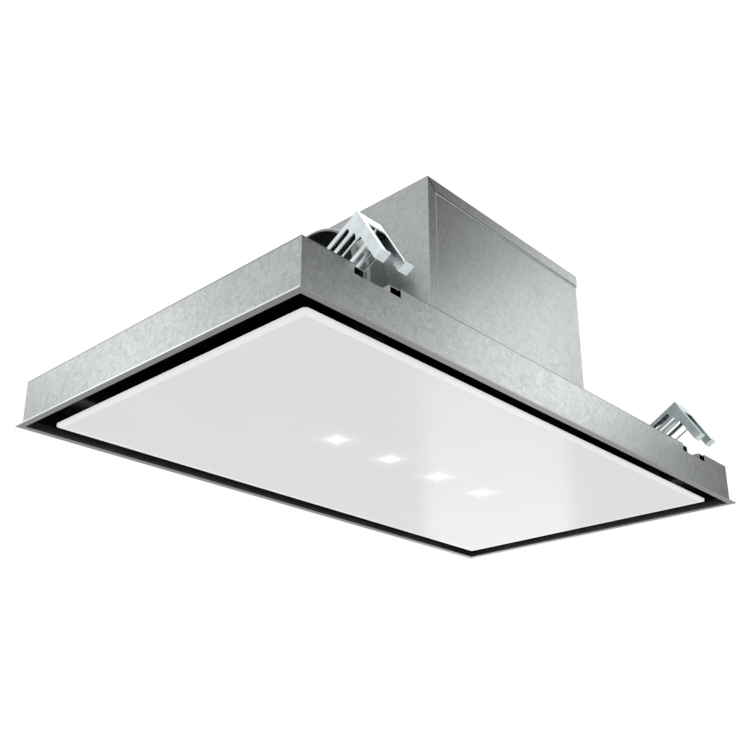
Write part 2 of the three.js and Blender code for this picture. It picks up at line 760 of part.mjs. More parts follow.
// One forward-curved blade in plan, from the eye to the tip.
function bladeShape() {
  const sweep = THREE.MathUtils.degToRad(bladeSweep);
  const tip = impellerRadius - bladeTipSetback;
  const tipX = tip * Math.cos(sweep);
  const tipY = -tip * Math.sin(sweep);
  const middle = [(impellerEye + tipX) / 2 + bladeBow / 2, tipY / 2 + bladeBow];
  const shape = new THREE.Shape();
  shape.moveTo(impellerEye, 0);
  shape.quadraticCurveTo(middle[0], middle[1], tipX, tipY);
  shape.lineTo(tipX - bladeThickness / 2, tipY - bladeThickness);
  shape.quadraticCurveTo(middle[0] - bladeThickness / 2, middle[1] - bladeThickness, impellerEye, -bladeThickness);
  shape.closePath();
  return shape;
}

// Impeller: a ring of blades between a back plate with its hub and a lower ring.
function impeller() {
  const plateTop = impellerPlate + impellerPlateThickness;
  const hubBottom = plateTop - impellerHubLength;
  return cut(
    join(
      rod("z", impellerRadius, impellerPlate, plateTop, [0, 0, 0], fineFacets),
      rod("z", impellerHub, hubBottom, plateTop, [0, 0, 0], facets),
    ),
    rod("z", shaftRadius + pinPlay, hubBottom - 1, plateTop + 1, [0, 0, 0]),
  );
}

// Blade ring: forward-curved blades between a lower ring and the back plate.
function bladeRing() {
  const ringTop = impellerBottom + impellerRing;
  const blade = extrude(bladeShape(), "z", ringTop - bladeRoot, impellerPlate, bladeFacets);
  const blades = Array.from({ length: bladeCount }, (_, index) => blade.rotate([0, 0, (index / bladeCount) * 360]));
  return join(
    revolve([
      [impellerEye, impellerBottom], [impellerRadius, impellerBottom],
      [impellerRadius, ringTop], [impellerEye, ringTop],
    ], "z", [0, 0, 0], fineFacets),
    ...blades,
  );
}

// Motor: a flanged can let into the scroll's top, with its shaft down through the impeller's hub.
function motor() {
  const bottom = scrollTop - motorDrop;
  const top = scrollTop + motorHeight;
  const shoulder = motorRadius / 8;
  return revolve([
    [0, shaftEnd], [shaftRadius, shaftEnd], [shaftRadius, bottom], [motorRadius - shoulder, bottom],
    [motorRadius, bottom + shoulder], [motorRadius, scrollTop], [motorFlange, scrollTop],
    [motorFlange, scrollTop + motorFlangeThickness], [motorRadius, scrollTop + motorFlangeThickness],
    [motorRadius, top - shoulder], [motorRadius - shoulder, top], [0, top],
  ], "z", [0, 0, 0]);
}

function addFan() {
  const fan = new THREE.Group();
  fan.position.set(fanX, fanY, 0);
  hood.add(fan);
  place("fan_scroll", fanScroll(), "greyPlastic", fan);
  place("inlet_ring", inletRing(), "blackPlastic", fan);
  place("impeller", impeller(), "blackPlastic", fan);
  place("blade_ring", bladeRing(), "blackPlastic", fan);
  place("motor", motor(), "galvanised", fan);
  const corners = [[-1, -1], [1, -1], [-1, 1], [1, 1]];
  corners.forEach(([sideX, sideY], index) => {
    const mount = rod("z", mountRadius, scrollTop, boxTop - sheet, [0, 0, 0]);
    place(`fan_mount_${index + 1}`, mount, "rubber", fan).position.set(sideX * mountOffset, sideY * mountOffset, 0);
  });
}

// ---------------------------------------------------------------- electrics

function addElectrics() {
  const { x, y, width, depth, height } = controlBox;
  const base = block([x, x + width], [y, y + depth], [deckTop, deckTop + height - controlLidHeight]);
  const lid = block(
    [x - controlLid, x + width + controlLid],
    [y - controlLid, y + depth + controlLid],
    [deckTop + height - controlLidHeight, deckTop + height],
  );
  place("control_box", join(base, lid), "greyPlastic");

  const driver = ledDriver;
  const can = block([driver.x, driver.x + driver.width], [driver.y, driver.y + driver.depth],
    [deckTop, deckTop + driver.height]);
  const feet = block([driver.x - driverFoot, driver.x + driver.width + driverFoot],
    [driver.y + driverFoot, driver.y + driver.depth - driverFoot], [deckTop, deckTop + driverFootThickness]);
  const holes = [driver.x - driverFoot / 2, driver.x + driver.width + driverFoot / 2].map((holeX) =>
    rod("z", driverFoot / 4, deckTop - 1, deckTop + driverFoot, [holeX, driver.y + driver.depth / 2, 0]));
  place("led_driver", cut(join(can, feet), ...holes), "greyPlastic");

  const inside = boxBack - sheet;
  place("mains_gland", join(
    revolve([
      [glandBore, inside - glandNutHeight], [glandThread, inside - glandNutHeight], [glandThread, boxBack + 1],
      [glandCap, boxBack + glandNutHeight], [glandCap, boxBack + glandNutHeight + glandCapHeight / 2],
      [glandBore + 1, boxBack + glandNutHeight + glandCapHeight],
      [glandBore, boxBack + glandNutHeight + glandCapHeight],
    ], "y", [glandX, 0, glandZ]),
    hexRing(glandNut, [inside - glandNutHeight, inside]),
    hexRing(glandNut, [boxBack, boxBack + glandNutHeight]),
  ), "blackPlastic");
}

// A hexagonal nut on the cable gland's thread.
function hexRing(radius, [from, to]) {
  const centre = [glandX, 0, glandZ];
  return cut(rod("y", radius, from, to, centre, 6), rod("y", glandThread - glandThreadDepth, from - 1, to + 1, centre));
}

// ---------------------------------------------------------------- cover panel

const lamps = [-1.5, -0.5, 0.5, 1.5].map((step) => step * lampSpacing);

// Glass: a rounded plate with a shallow facet round its lower face and four lamp windows.
function glassPanel() {
  const plate = extrude(roundedRectangle(panelLength / 2, panelDepth / 2, panelCorner), "z", panelRise, glassTop);
  const half = lampWindow / 2;
  const windows = lamps.map((x) => block([x - half, x + half], [-half, half], [panelRise - 1, glassTop + 1]));
  const facet = (edge, side) => polygon([
    [side * (edge - glassFacetWidth), panelRise - 1], [side * (edge - glassFacetWidth), panelRise],
    [side * edge, panelRise + glassFacetHeight], [side * (edge + 1), panelRise + glassFacetHeight],
    [side * (edge + 1), panelRise - 1],
  ]);
  const facetCuts = [-1, 1].flatMap((side) => [
    extrude(facet(panelDepth / 2, side), "x", -panelLength, panelLength),
    extrude(facet(panelLength / 2, side), "y", -panelDepth, panelDepth),
  ]);
  return cut(plate, ...facetCuts, ...windows);
}

// Tray behind the glass: an inverted pan with a glued border and a knuckle for each hinge.
function panelTray() {
  const outerX = panelLength / 2 - trayInset;
  const outerY = panelDepth / 2 - trayInset;
  const wallHalfX = outerX - trayFlange;
  const wallHalfY = outerY - trayFlange;
  const pan = join(
    extrude(roundedRectangle(outerX, outerY, trayCorner), "z", glassTop, glassTop + trayThickness),
    extrude(roundedRectangle(wallHalfX, wallHalfY, trayCorner), "z", glassTop, trayTop),
  );
  const hollow = roundedRectangle(wallHalfX - trayThickness, wallHalfY - trayThickness, trayCorner - trayThickness);
  const tray = cut(pan, extrude(hollow, "z", glassTop - 1, trayTop - trayThickness));
  const knuckleHalf = hingeKnuckleLength / 2;
  const knuckles = [-hingeX, hingeX].map((x) => {
    const span = [x - knuckleHalf, x + knuckleHalf];
    return cut(
      join(
        rod("x", hingeKnuckle, ...span, [0, hingeY, hingeZ]),
        block(span, [wallHalfY - trayThickness / 2, hingeY], [hingeZ, hingeZ + hingeKnuckle]),
      ),
      rod("x", hingePinRadius + pinPlay, span[0] - 1, span[1] + 1, [0, hingeY, hingeZ]),
    );
  });
  return join(tray, ...knuckles);
}

// Lamp lens: flush with the glass, with a shoulder on its inner face.
function lampLens() {
  const half = lampWindow / 2 - fit;
  const shoulder = lampShoulder / 2;
  return join(
    block([-half, half], [-half, half], [panelRise, glassTop + 1]),
    block([-shoulder, shoulder], [-shoulder, shoulder], [glassTop, glassTop + lampShoulderHeight]),
  );
}

// Hinge bracket: a plate under the recess ceiling with two ears round the panel's knuckle.
function hingeBracket() {
  const from = hingeKnuckleLength / 2 + fit;
  const plate = block([-hingePlateLength / 2, hingePlateLength / 2],
    [hingeY - hingePlateDepth / 2, hingeY + hingePlateDepth / 2], [ceilingHeight - sheet, ceilingHeight]);
  const ears = [[-from - hingeEarThickness, -from], [from, from + hingeEarThickness]].map(([x0, x1]) => join(
    rod("x", hingeEar, x0, x1, [0, hingeY, hingeZ]),
    block([x0, x1], [hingeY - hingeEar, hingeY + hingeEar], [hingeZ, ceilingHeight - sheet / 2]),
  ));
  const hole = rod("x", hingePinRadius + pinPlay, -hingePlateLength, hingePlateLength, [0, hingeY, hingeZ]);
  return cut(join(plate, ...ears), hole);
}

function hingePin() {
  const ear = hingeKnuckleLength / 2 + fit + hingeEarThickness;
  const centre = [0, hingeY, hingeZ];
  return join(
    rod("x", hingePinRadius, -ear, ear + hingeRivet, centre),
    rod("x", hingePinRadius + hingeHead, -ear - hingeHead, -ear, centre),
    rod("x", hingePinRadius + hingeRivet, ear, ear + hingeRivet, centre),
  );
}

function addPanel() {
  place("glass_panel", glassPanel(), "whiteGlass");
  place("panel_tray", panelTray(), "galvanised");
  lamps.forEach((x, index) => place(`led_lens_${index + 1}`, lampLens(), "lampLens").position.set(x, 0, 0));
  for (const [name, side] of [["left", -1], ["right", 1]]) {
    place(`hinge_bracket_${name}`, hingeBracket(), "zinc").position.set(side * hingeX, 0, 0);
    place(`hinge_pin_${name}`, hingePin(), "zinc").position.set(side * hingeX, 0, 0);
    const magnet = block([-catchLength / 2, catchLength / 2], [-catchDepth / 2, catchDepth / 2],
      [trayTop + fit, ceilingHeight]);
    place(`panel_magnet_${name}`, magnet, "blackPlastic").position.set(side * catchX, catchY, 0);
  }
}

// ---------------------------------------------------------------- grease filters

// Filter frame: a folded rim with two inner ledges, hinge barrels and a finger pull.
function filterFrame() {
  const halfX = filterWidth / 2;
  const halfY = filterDepth / 2;
  const top = ceilingHeight + filterThickness;
  const meshTop = ceilingHeight + filterLip + meshThickness + 2 * fit;
  let frame = cut(
    block([-halfX, halfX], [-halfY, halfY], [ceilingHeight, top]),
    block([filterRim - halfX, halfX - filterRim], [filterRim - halfY, halfY - filterRim], [ceilingHeight - 1, top + 1]),
    block(
      [filterRim - filterLedge - halfX, halfX - filterRim + filterLedge],
      [filterRim - filterLedge - halfY, halfY - filterRim + filterLedge],
      [ceilingHeight + filterLip, meshTop],
    ),
  );
  const barrelHalf = filterBarrelLength / 2;
  for (const x of [-filterBarrelSpacing / 2, filterBarrelSpacing / 2]) {
    const span = [x - barrelHalf, x + barrelHalf];
    const hinge = join(
      rod("x", filterBarrel, ...span, [0, pivotY, pivotZ]),
      block(span, [halfY - filterRim / 2, pivotY], [pivotZ - filterBarrel / 2, pivotZ + filterBarrel / 2]),
      block(span, [halfY - filterRim / 2, halfY - fit], [pivotZ - filterBarrel / 2, ceilingHeight + filterLip / 2]),
    );
    const bore = rod("x", filterPin + pinPlay, span[0] - 1, span[1] + 1, [0, pivotY, pivotZ]);
    frame = join(frame, cut(hinge, bore));
  }
  const pullEdge = filterRim - halfY;
  const pull = join(
    block([-pullWidth / 2, pullWidth / 2], [pullEdge - filterLip, pullEdge], [ceilingHeight - pullDrop, ceilingHeight + filterLip]),
    block([-pullWidth / 2, pullWidth / 2], [pullEdge - filterLip, pullEdge + pullDrop],
      [ceilingHeight - pullDrop, ceilingHeight - pullDrop + filterLip]),
  );
  return join(frame, pull);
}

// Filter mesh: an expanded-metal sheet with staggered diamonds.
function filterMesh() {
  const halfX = filterWidth / 2 - filterRim + filterLedge - fit;
  const halfY = filterDepth / 2 - filterRim + filterLedge - fit;
  const from = ceilingHeight + filterLip + fit;
  const plate = roundedRectangle(halfX, halfY, 1);
  const openX = 2 * (filterWidth / 2 - filterRim);
  const openY = 2 * (filterDepth / 2 - filterRim);
  const pitchX = openX / meshColumns;
  const pitchY = openY / meshRows;
  const diamondX = (pitchX - meshStrand / 2) / 2;
  const diamondY = (pitchY - meshStrand / 2);
  for (let row = 0; row < 2 * meshRows - 1; row += 1) {
    const stagger = row % 2;
    for (let column = 0; column < meshColumns - stagger; column += 1) {
      const x = (column + 0.5 + stagger / 2) * pitchX - openX / 2;
      const y = (row + 1) * pitchY / 2 - openY / 2;
      plate.holes.push(polygon([
        [x - diamondX + meshStrand / 4, y], [x, y - diamondY / 2 + meshStrand / 4],
        [x + diamondX - meshStrand / 4, y], [x, y + diamondY / 2 - meshStrand / 4],
      ]));
    }
  }
  return extrude(plate, "z", from, from + meshThickness, 1);
}

function addFilters() {
  for (const [name, side] of [["left", -1], ["right", 1]]) {
    place(`filter_frame_${name}`, filterFrame(), "aluminium").position.set(side * filterCentre, 0, 0);
    place(`filter_mesh_${name}`, filterMesh(), "aluminium").position.set(side * filterCentre, 0, 0);
  }
}

// ---------------------------------------------------------------- assembly

place("lip_profile", lipProfile(), "brushed");
place("frame_walls", frameWalls(), "galvanised");
place("recess_tray", recessTray(), "blackEnamel");
place("top_deck", topDeck(), "galvanised");
addClamps();
place("motor_box_shell", motorBoxShell(), "galvanised");
place("motor_box_cover", motorBoxCover(), "galvanised");
addDuct();
addFan();
addElectrics();
addPanel();
addFilters();

export default hood;
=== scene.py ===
"""Looks of a flush ceiling range hood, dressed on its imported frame.

The hood's sizes are in millimetres and the studio's in metres, all in the frame's own axes. Meshes are
turned into metres as they are finished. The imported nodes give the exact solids, and the pieces made here
stand on them.
"""

import json
import logging
import math
from dataclasses import dataclass
from enum import Enum
from typing import Sequence

import bmesh
import bpy
from mathutils import Matrix, Vector

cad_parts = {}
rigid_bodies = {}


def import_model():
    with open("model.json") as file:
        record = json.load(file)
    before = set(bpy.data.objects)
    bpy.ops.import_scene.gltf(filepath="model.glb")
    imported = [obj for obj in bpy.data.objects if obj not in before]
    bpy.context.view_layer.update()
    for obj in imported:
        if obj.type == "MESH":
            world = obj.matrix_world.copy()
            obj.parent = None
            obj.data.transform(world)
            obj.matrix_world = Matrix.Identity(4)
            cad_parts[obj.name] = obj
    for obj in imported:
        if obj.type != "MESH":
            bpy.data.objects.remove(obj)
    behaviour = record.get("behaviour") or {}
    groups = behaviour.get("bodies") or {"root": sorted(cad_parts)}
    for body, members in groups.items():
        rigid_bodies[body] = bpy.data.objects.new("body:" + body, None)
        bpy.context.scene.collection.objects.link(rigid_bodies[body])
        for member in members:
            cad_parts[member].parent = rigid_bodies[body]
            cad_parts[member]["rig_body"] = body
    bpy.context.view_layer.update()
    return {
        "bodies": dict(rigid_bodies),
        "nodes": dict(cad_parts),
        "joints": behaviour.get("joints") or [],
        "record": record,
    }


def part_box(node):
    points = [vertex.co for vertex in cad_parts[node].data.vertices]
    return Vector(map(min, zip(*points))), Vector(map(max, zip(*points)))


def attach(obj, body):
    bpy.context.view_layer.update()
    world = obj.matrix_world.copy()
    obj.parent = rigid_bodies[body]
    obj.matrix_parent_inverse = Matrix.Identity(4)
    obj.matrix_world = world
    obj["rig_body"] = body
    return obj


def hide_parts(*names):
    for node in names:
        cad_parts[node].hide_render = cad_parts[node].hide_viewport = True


LOG = logging.getLogger("range_hood")
MM = 0.001

Pair = tuple[float, float]
Point = tuple[float, float, float]
Colour = tuple[float, float, float]
Noise = tuple[float, float, Point]
Profile = Sequence[Pair]
Socket = bpy.types.NodeSocket
Source = Socket | float | tuple[float, ...]

EVEN: Point = (1.0, 1.0, 1.0)
WHITE: Colour = (1.0, 1.0, 1.0)


class Axis(Enum):
    """A direction that a form is turned or pushed along."""

    X = "X"
    Y = "Y"
    Z = "Z"

    def matrix(self) -> Matrix:
        """Turn the local Z axis onto this direction.

        Returns:
            The turn.
        """
        if self is Axis.X:
            return Matrix.Rotation(math.radians(90.0), 4, "Y")
        if self is Axis.Y:
            return Matrix.Rotation(math.radians(-90.0), 4, "X")
        return Matrix.Identity(4)


class Slot(Enum):
    """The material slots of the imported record."""

    GALVANISED = "galvanised"
    BRUSHED = "brushed_steel"
    ZINC = "zinc"
    BLACK_ENAMEL = "black_enamel"
    BLACK_PLASTIC = "black_plastic"
    GREY_PLASTIC = "grey_plastic"
    WHITE_GLASS = "white_glass"
    LAMP_LENS = "lamp_lens"
    ALUMINIUM = "aluminium"
    RUBBER = "rubber"


# ---------------------------------------------------------------- finishes


def add_node(tree: bpy.types.NodeTree, kind: str, inputs: dict[str | int, Source]) -> bpy.types.Node:
    """Add a node to a tree and set its inputs.

    Args:
        tree: the node tree.
        kind: the node's type, without the words in front that all share.
        inputs: for each input, the output that drives it or its constant.

    Returns:
        The node.
    """
    node = tree.nodes.new(f"ShaderNode{kind}")
    for name, value in inputs.items():
        if isinstance(value, Socket):
            tree.links.new(value, node.inputs[name])
        else:
            node.inputs[name].default_value = value
    return node


def tinted(tone: Colour, factor: float) -> Colour:
    """Lighten or darken a tone; a factor of 1 leaves it as it is."""
    return tuple(min(1.0, channel * factor) for channel in tone)


class ShaderGraph:
    """The node tree of one procedural finish, laid out in the frame's metres."""

    def __init__(self, title: str) -> None:
        """Start a material with one Principled shader.

        Args:
            title: the material's name.
        """
        self.material = bpy.data.materials.new(title)
        self.material.use_nodes = True
        self.tree = self.material.node_tree
        self.tree.nodes.clear()
        self.shader = add_node(self.tree, "BsdfPrincipled", {})
        add_node(self.tree, "OutputMaterial", {"Surface": self.shader.outputs["BSDF"]})
        places = add_node(self.tree, "TexCoord", {})
        self.position = places.outputs["Object"]
        self.parts = add_node(self.tree, "SeparateXYZ", {"Vector": self.position})
        self.facing = add_node(self.tree, "SeparateXYZ", {"Vector": places.outputs["Normal"]})

    def node(self, kind: str, output: str, inputs: dict[str | int, Source]) -> Socket:
        """Add a node and give one of its outputs."""
        return add_node(self.tree, kind, inputs).outputs[output]

    def fix(self, values: dict[str, float | tuple[float, ...]]) -> None:
        """Set constants on the shader's own sockets, by their names."""
        for name, value in values.items():
            self.shader.inputs[name].default_value = value

    def feed(self, name: str, source: Socket) -> None:
        """Drive one of the shader's sockets by a node's output."""
        self.tree.links.new(source, self.shader.inputs[name])

    def noise(self, scale: float, detail: float = 3.0, stretch: Point = EVEN) -> Socket:
        """Add a cloud of soft noise.

        Args:
            scale: features per metre.
            detail: octaves of finer noise.
            stretch: a factor on each axis, small along the grain.

        Returns:
            A value from 0 to 1.
        """
        mapped = self.node("Mapping", "Vector", {"Vector": self.position, "Scale": stretch})
        return self.node("TexNoise", "Fac", {"Vector": mapped, "Scale": scale, "Detail": detail})

    def crystals(self, scale: float) -> Socket:
        """Add grains, so many to a metre, with a random value from 0 to 1 each."""
        grains = self.node("TexVoronoi", "Color", {"Vector": self.position, "Scale": scale})
        return self.node("SeparateColor", "Red", {"Color": grains})

    def maths(self, operation: str, first: Socket | float, second: Socket | float = 0.0) -> Socket:
        """Combine two values.

        Args:
            operation: a Math node's operation.
            first: a node output or a number.
            second: a node output or a number.

        Returns:
            The result.
        """
        node = add_node(self.tree, "Math", {0: first, 1: second})
        node.operation = operation
        return node.outputs["Value"]

    def away(self, axis: Axis) -> Socket:
        """Give the distance from the middle along an axis, in metres."""
        return self.maths("ABSOLUTE", self.parts.outputs[axis.value])

    def shades(self, value: Socket, stops: Sequence[tuple[float, Colour]]) -> Socket:
        """Turn a value into colours.

        Args:
            value: a value from 0 to 1.
            stops: positions and their colours.

        Returns:
            The colour.
        """
        node = add_node(self.tree, "ValToRGB", {"Fac": value})
        ramp = node.color_ramp
        while len(ramp.elements) < len(stops):
            ramp.elements.new(1.0)
        for element, (position, colour) in zip(ramp.elements, stops):
            element.position = position
            element.color = (*colour, 1.0)
        return node.outputs["Color"]

    def tones(self, value: Socket, tone: Colour, *stops: Pair) -> Socket:
        """Turn a value into lighter and darker shades of one tone.

        Args:
            value: a value from 0 to 1.
            tone: the tone.
            stops: positions, each with the factor on the tone there.

        Returns:
            The colour.
        """
        return self.shades(value, [(position, tinted(tone, factor)) for position, factor in stops])

    def spread(self, value: Socket, low: float, high: float) -> Socket:
        """Spread a value from 0 to 1 over the range from low to high."""
        return self.node("MapRange", "Result", {"Value": value, "To Min": low, "To Max": high})

    def choose(self, share: Socket, first: Socket, second: Socket) -> Socket:
        """Mix two values; a share of 0 gives the first and 1 the second."""
        return self.node("Mix", "Result", {"Factor": share, "A": first, "B": second})

    def blend(self, share: Socket, first: Socket, second: Socket) -> Socket:
        """Mix two colours.

        Args:
            share: 0 for the first colour and 1 for the second.
            first: the first colour.
            second: the second colour.

        Returns:
            The mixed colour.
        """
        node = add_node(self.tree, "Mix", {})
        node.data_type = "RGBA"
        ends = {socket.identifier: socket for socket in node.inputs}
        for name, source in (("Factor_Float", share), ("A_Color", first), ("B_Color", second)):
            self.tree.links.new(source, ends[name])
        return next(socket for socket in node.outputs if socket.identifier == "Result_Color")

    def border(self, half_length: float, half_depth: float, width: float) -> Socket:
        """Tell what lies in the border of a rectangle round the middle, or outside it.

        Args:
            half_length: half its size along X, in millimetres.
            half_depth: half its size along Y, in millimetres.
            width: the border's width in millimetres.

        Returns:
            1 there and 0 inside the border.
        """
        past_end = self.maths("GREATER_THAN", self.away(Axis.X), (half_length - width) * MM)
        past_side = self.maths("GREATER_THAN", self.away(Axis.Y), (half_depth - width) * MM)
        return self.maths("MAXIMUM", past_end, past_side)

    def relief(self, height: Socket, strength: float, depth: float) -> None:
        """Raise the surface by a height.

        Args:
            height: a value from 0 to 1.
            strength: how much of the relief shows.
            depth: the relief's depth in metres.
        """
        bump = {"Height": height, "Strength": strength, "Distance": depth}
        self.feed("Normal", self.node("Bump", "Normal", bump))


@dataclass(frozen=True)
class Finish:
    """A surface finish, which makes its material once."""

    title: str
    slot: Slot

    def draw(self, graph: ShaderGraph) -> None:
        """Draw the finish; each finish has its own."""
        raise NotImplementedError(self.title)

    def material(self) -> bpy.types.Material:
        """Make the material, or find it again.

        Returns:
            The material.
        """
        found = bpy.data.materials.get(self.title)
        if found is None:
            graph = ShaderGraph(self.title)
            self.draw(graph)
            found = graph.material
        return found


@dataclass(frozen=True)
class GalvanisedSheet(Finish):
    """Hot-dipped steel with a fine spangle and faint clouds."""

    title: str = "galvanised_sheet"
    slot: Slot = Slot.GALVANISED
    tone: Colour = (0.42, 0.437, 0.439)
    grain: float = 6.0
    contrast: float = 0.17

    def draw(self, graph: ShaderGraph) -> None:
        """Draw crystals of slightly different brightness, tilt and gloss.

        Args:
            graph: the finish's node tree.
        """
        graph.feed("Base Color", self.spangle(graph))
        graph.feed("Roughness", graph.spread(graph.noise(0.8 / (self.grain * MM), 2.0), 0.25, 0.35))
        graph.fix({"Metallic": 1.0})
        graph.relief(graph.noise(1.6 / (self.grain * MM)), 0.09, 0.0004)

    def spangle(self, graph: ShaderGraph) -> Socket:
        """Draw coarse and fine crystals with clouds over them.

        Args:
            graph: the finish's node tree.

        Returns:
            The sheet's colour.
        """
        coarse = graph.maths("MULTIPLY", graph.crystals(1.0 / (self.grain * MM)), 0.25)
        fine = graph.maths("MULTIPLY", graph.crystals(2.6 / (self.grain * MM)), 0.4)
        clouds = graph.maths("MULTIPLY", graph.noise(14.0, 4.0), 0.35)
        value = graph.maths("ADD", graph.maths("ADD", coarse, fine), clouds)
        dark, light = 1.0 - self.contrast, 1.0 + self.contrast
        return graph.tones(value, self.tone, (0.15, dark), (0.5, 1.0), (0.85, light))


@dataclass(frozen=True)
class FoldShadedSheet(GalvanisedSheet):
    """Hot-dipped steel with painted shade on its upper fold, a darker band that stands in for the shadow line
    along the fold.
    """

    title: str = "fold_shaded_sheet"
    fold_height: float = 57.4
    fold_shade_tones: Pair = (0.42, 0.5)

    def spangle(self, graph: ShaderGraph) -> Socket:
        """Paint shade over the crystals on the fold.

        Args:
            graph: the finish's node tree.

        Returns:
            The sheet's colour.
        """
        sheet = super().spangle(graph)
        dark, light = self.fold_shade_tones
        # painted shade: a darker tone on the upright faces above the fold height, in place of the shadow line
        # at the fold
        painted_edge_tone = graph.tones(graph.noise(90.0), self.tone, (0.3, dark), (0.7, light))
        above = graph.maths("GREATER_THAN", graph.parts.outputs["Z"], self.fold_height * MM)
        upright = graph.maths("LESS_THAN", graph.facing.outputs["Z"], 0.5)
        return graph.blend(graph.maths("MULTIPLY", above, upright), sheet, painted_edge_tone)


@dataclass(frozen=True)
class BrushedLip(Finish):
    """Stainless steel brushed along each side of the lip, with a painted highlight on its outer edge,
    brighter on the short sides than on the long sides.
    """

    title: str = "brushed_lip"
    slot: Slot = Slot.BRUSHED
    tone: Colour = (0.24, 0.24, 0.245)
    short_edge_highlight_tone: Colour = (0.82, 0.82, 0.83)
    long_edge_highlight_tone: Colour = (0.4, 0.405, 0.41)
    half_length: float = 450.0
    half_depth: float = 250.0
    edge_highlight_width: float = 0.5

    def draw(self, graph: ShaderGraph) -> None:
        """Draw long scratches along each side that turn at the mitres.

        Args:
            graph: the finish's node tree.
        """
        along_x = graph.noise(1.0, 2.0, (6.0, 1400.0, 1400.0))
        along_y = graph.noise(1.0, 2.0, (1400.0, 6.0, 1400.0))
        mitre = (self.half_length - self.half_depth) * MM
        past_mitre = graph.maths("SUBTRACT", graph.away(Axis.X), graph.away(Axis.Y))
        short_side = graph.maths("GREATER_THAN", past_mitre, mitre)
        scratches = graph.choose(short_side, along_x, along_y)
        brushed = graph.tones(scratches, self.tone, (0.25, 0.86), (0.75, 1.12))
        # painted highlight: the lip's outer band is lighter, strongly on the short sides and faintly on the
        # long sides
        short_edge_highlight = graph.tones(scratches, self.short_edge_highlight_tone, (0.25, 0.95), (0.75, 1.0))
        painted_edge_tone = graph.tones(scratches, self.long_edge_highlight_tone, (0.25, 0.9), (0.75, 1.0))
        lip_highlight_band = graph.border(self.half_length, self.half_depth, self.edge_highlight_width)
        edge = graph.blend(short_side, painted_edge_tone, short_edge_highlight)
        graph.feed("Base Color", graph.blend(lip_highlight_band, brushed, edge))
        graph.feed("Roughness", graph.spread(scratches, 0.26, 0.38))
        graph.fix({"Metallic": 1.0})
        graph.relief(scratches, 0.12, 0.0001)


@dataclass(frozen=True)
class CloudedFinish(Finish):
    """A finish of one tone, with soft clouds of lighter and darker shades and a fine grain."""

    tone: Colour
    clouds: Noise
    grain: Noise
    stops: tuple[Pair, ...]
    roughness: Pair
    bump: Pair
    rough_grain: bool = False
    metallic: float = 0.0
    specular: float = 0.5

    def draw(self, graph: ShaderGraph) -> None:
        """Draw the clouds and raise the grain; one of the two makes the gloss wander.

        Args:
            graph: the finish's node tree.
        """
        clouds = graph.noise(*self.clouds)
        grain = graph.noise(*self.grain)
        graph.feed("Base Color", graph.tones(clouds, self.tone, *self.stops))
        graph.feed("Roughness", graph.spread(grain if self.rough_grain else clouds, *self.roughness))
        graph.fix({"Metallic": self.metallic, "Specular IOR Level": self.specular})
        graph.relief(grain, *self.bump)


@dataclass(frozen=True)
class ZincPlate(CloudedFinish):
    """Bright zinc plate: a cool blue-green cast, faint patches and a fine rolled grain."""

    title: str = "zinc_plate"
    slot: Slot = Slot.ZINC
    tone: Colour = (0.68, 0.75, 0.755)
    clouds: Noise = (60.0, 4.0, EVEN)
    grain: Noise = (900.0, 1.0, EVEN)
    stops: tuple[Pair, ...] = ((0.3, 0.84), (0.55, 1.0), (0.8, 1.14))
    roughness: Pair = (0.16, 0.34)
    bump: Pair = (0.06, 0.0001)
    metallic: float = 1.0


@dataclass(frozen=True)
class BlackEnamel(CloudedFinish):
    """Stoved gloss black: nearly even, with a little orange peel and haze."""

    title: str = "stoved_enamel"
    slot: Slot = Slot.BLACK_ENAMEL
    tone: Colour = (0.006, 0.006, 0.007)
    clouds: Noise = (14.0, 3.0, EVEN)
    grain: Noise = (420.0, 2.0, EVEN)
    stops: tuple[Pair, ...] = ((0.3, 1.0), (0.8, 1.7))
    roughness: Pair = (0.12, 0.26)
    bump: Pair = (0.05, 0.0002)
    specular: float = 0.4


@dataclass(frozen=True)
class MouldedPlastic(CloudedFinish):
    """Moulded plastic with a fine sparked texture and slight mottling."""

    title: str = "moulded_black"
    slot: Slot = Slot.BLACK_PLASTIC
    tone: Colour = (0.016, 0.016, 0.018)
    clouds: Noise = (30.0, 3.0, EVEN)
    grain: Noise = (1500.0, 3.0, EVEN)
    stops: tuple[Pair, ...] = ((0.3, 0.8), (0.75, 1.3))
    roughness: Pair = (0.37, 0.57)
    bump: Pair = (0.18, 0.0002)
    rough_grain: bool = True


@dataclass(frozen=True)
class SatinAluminium(CloudedFinish):
    """Anodised aluminium of the grease filters, with a drawn grain and faint blotches."""

    title: str = "satin_aluminium"
    slot: Slot = Slot.ALUMINIUM
    tone: Colour = (0.6, 0.61, 0.62)
    clouds: Noise = (35.0, 3.0, EVEN)
    grain: Noise = (1.0, 2.0, (900.0, 40.0, 900.0))
    stops: tuple[Pair, ...] = ((0.3, 0.85), (0.75, 1.12))
    roughness: Pair = (0.28, 0.46)
    bump: Pair = (0.08, 0.0001)
    rough_grain: bool = True
    metallic: float = 1.0


@dataclass(frozen=True)
class MouldedRubber(CloudedFinish):
    """Matt, slightly dusty rubber of the fan's mounts, also used for the dark strip of painted shade in the
    box's mitre.
    """

    title: str = "moulded_rubber"
    slot: Slot = Slot.RUBBER
    tone: Colour = (0.022, 0.022, 0.022)
    clouds: Noise = (160.0, 4.0, EVEN)
    grain: Noise = (160.0, 4.0, EVEN)
    stops: tuple[Pair, ...] = ((0.35, 1.0), (0.8, 2.2))
    roughness: Pair = (0.7, 0.92)
    bump: Pair = (0.2, 0.0003)


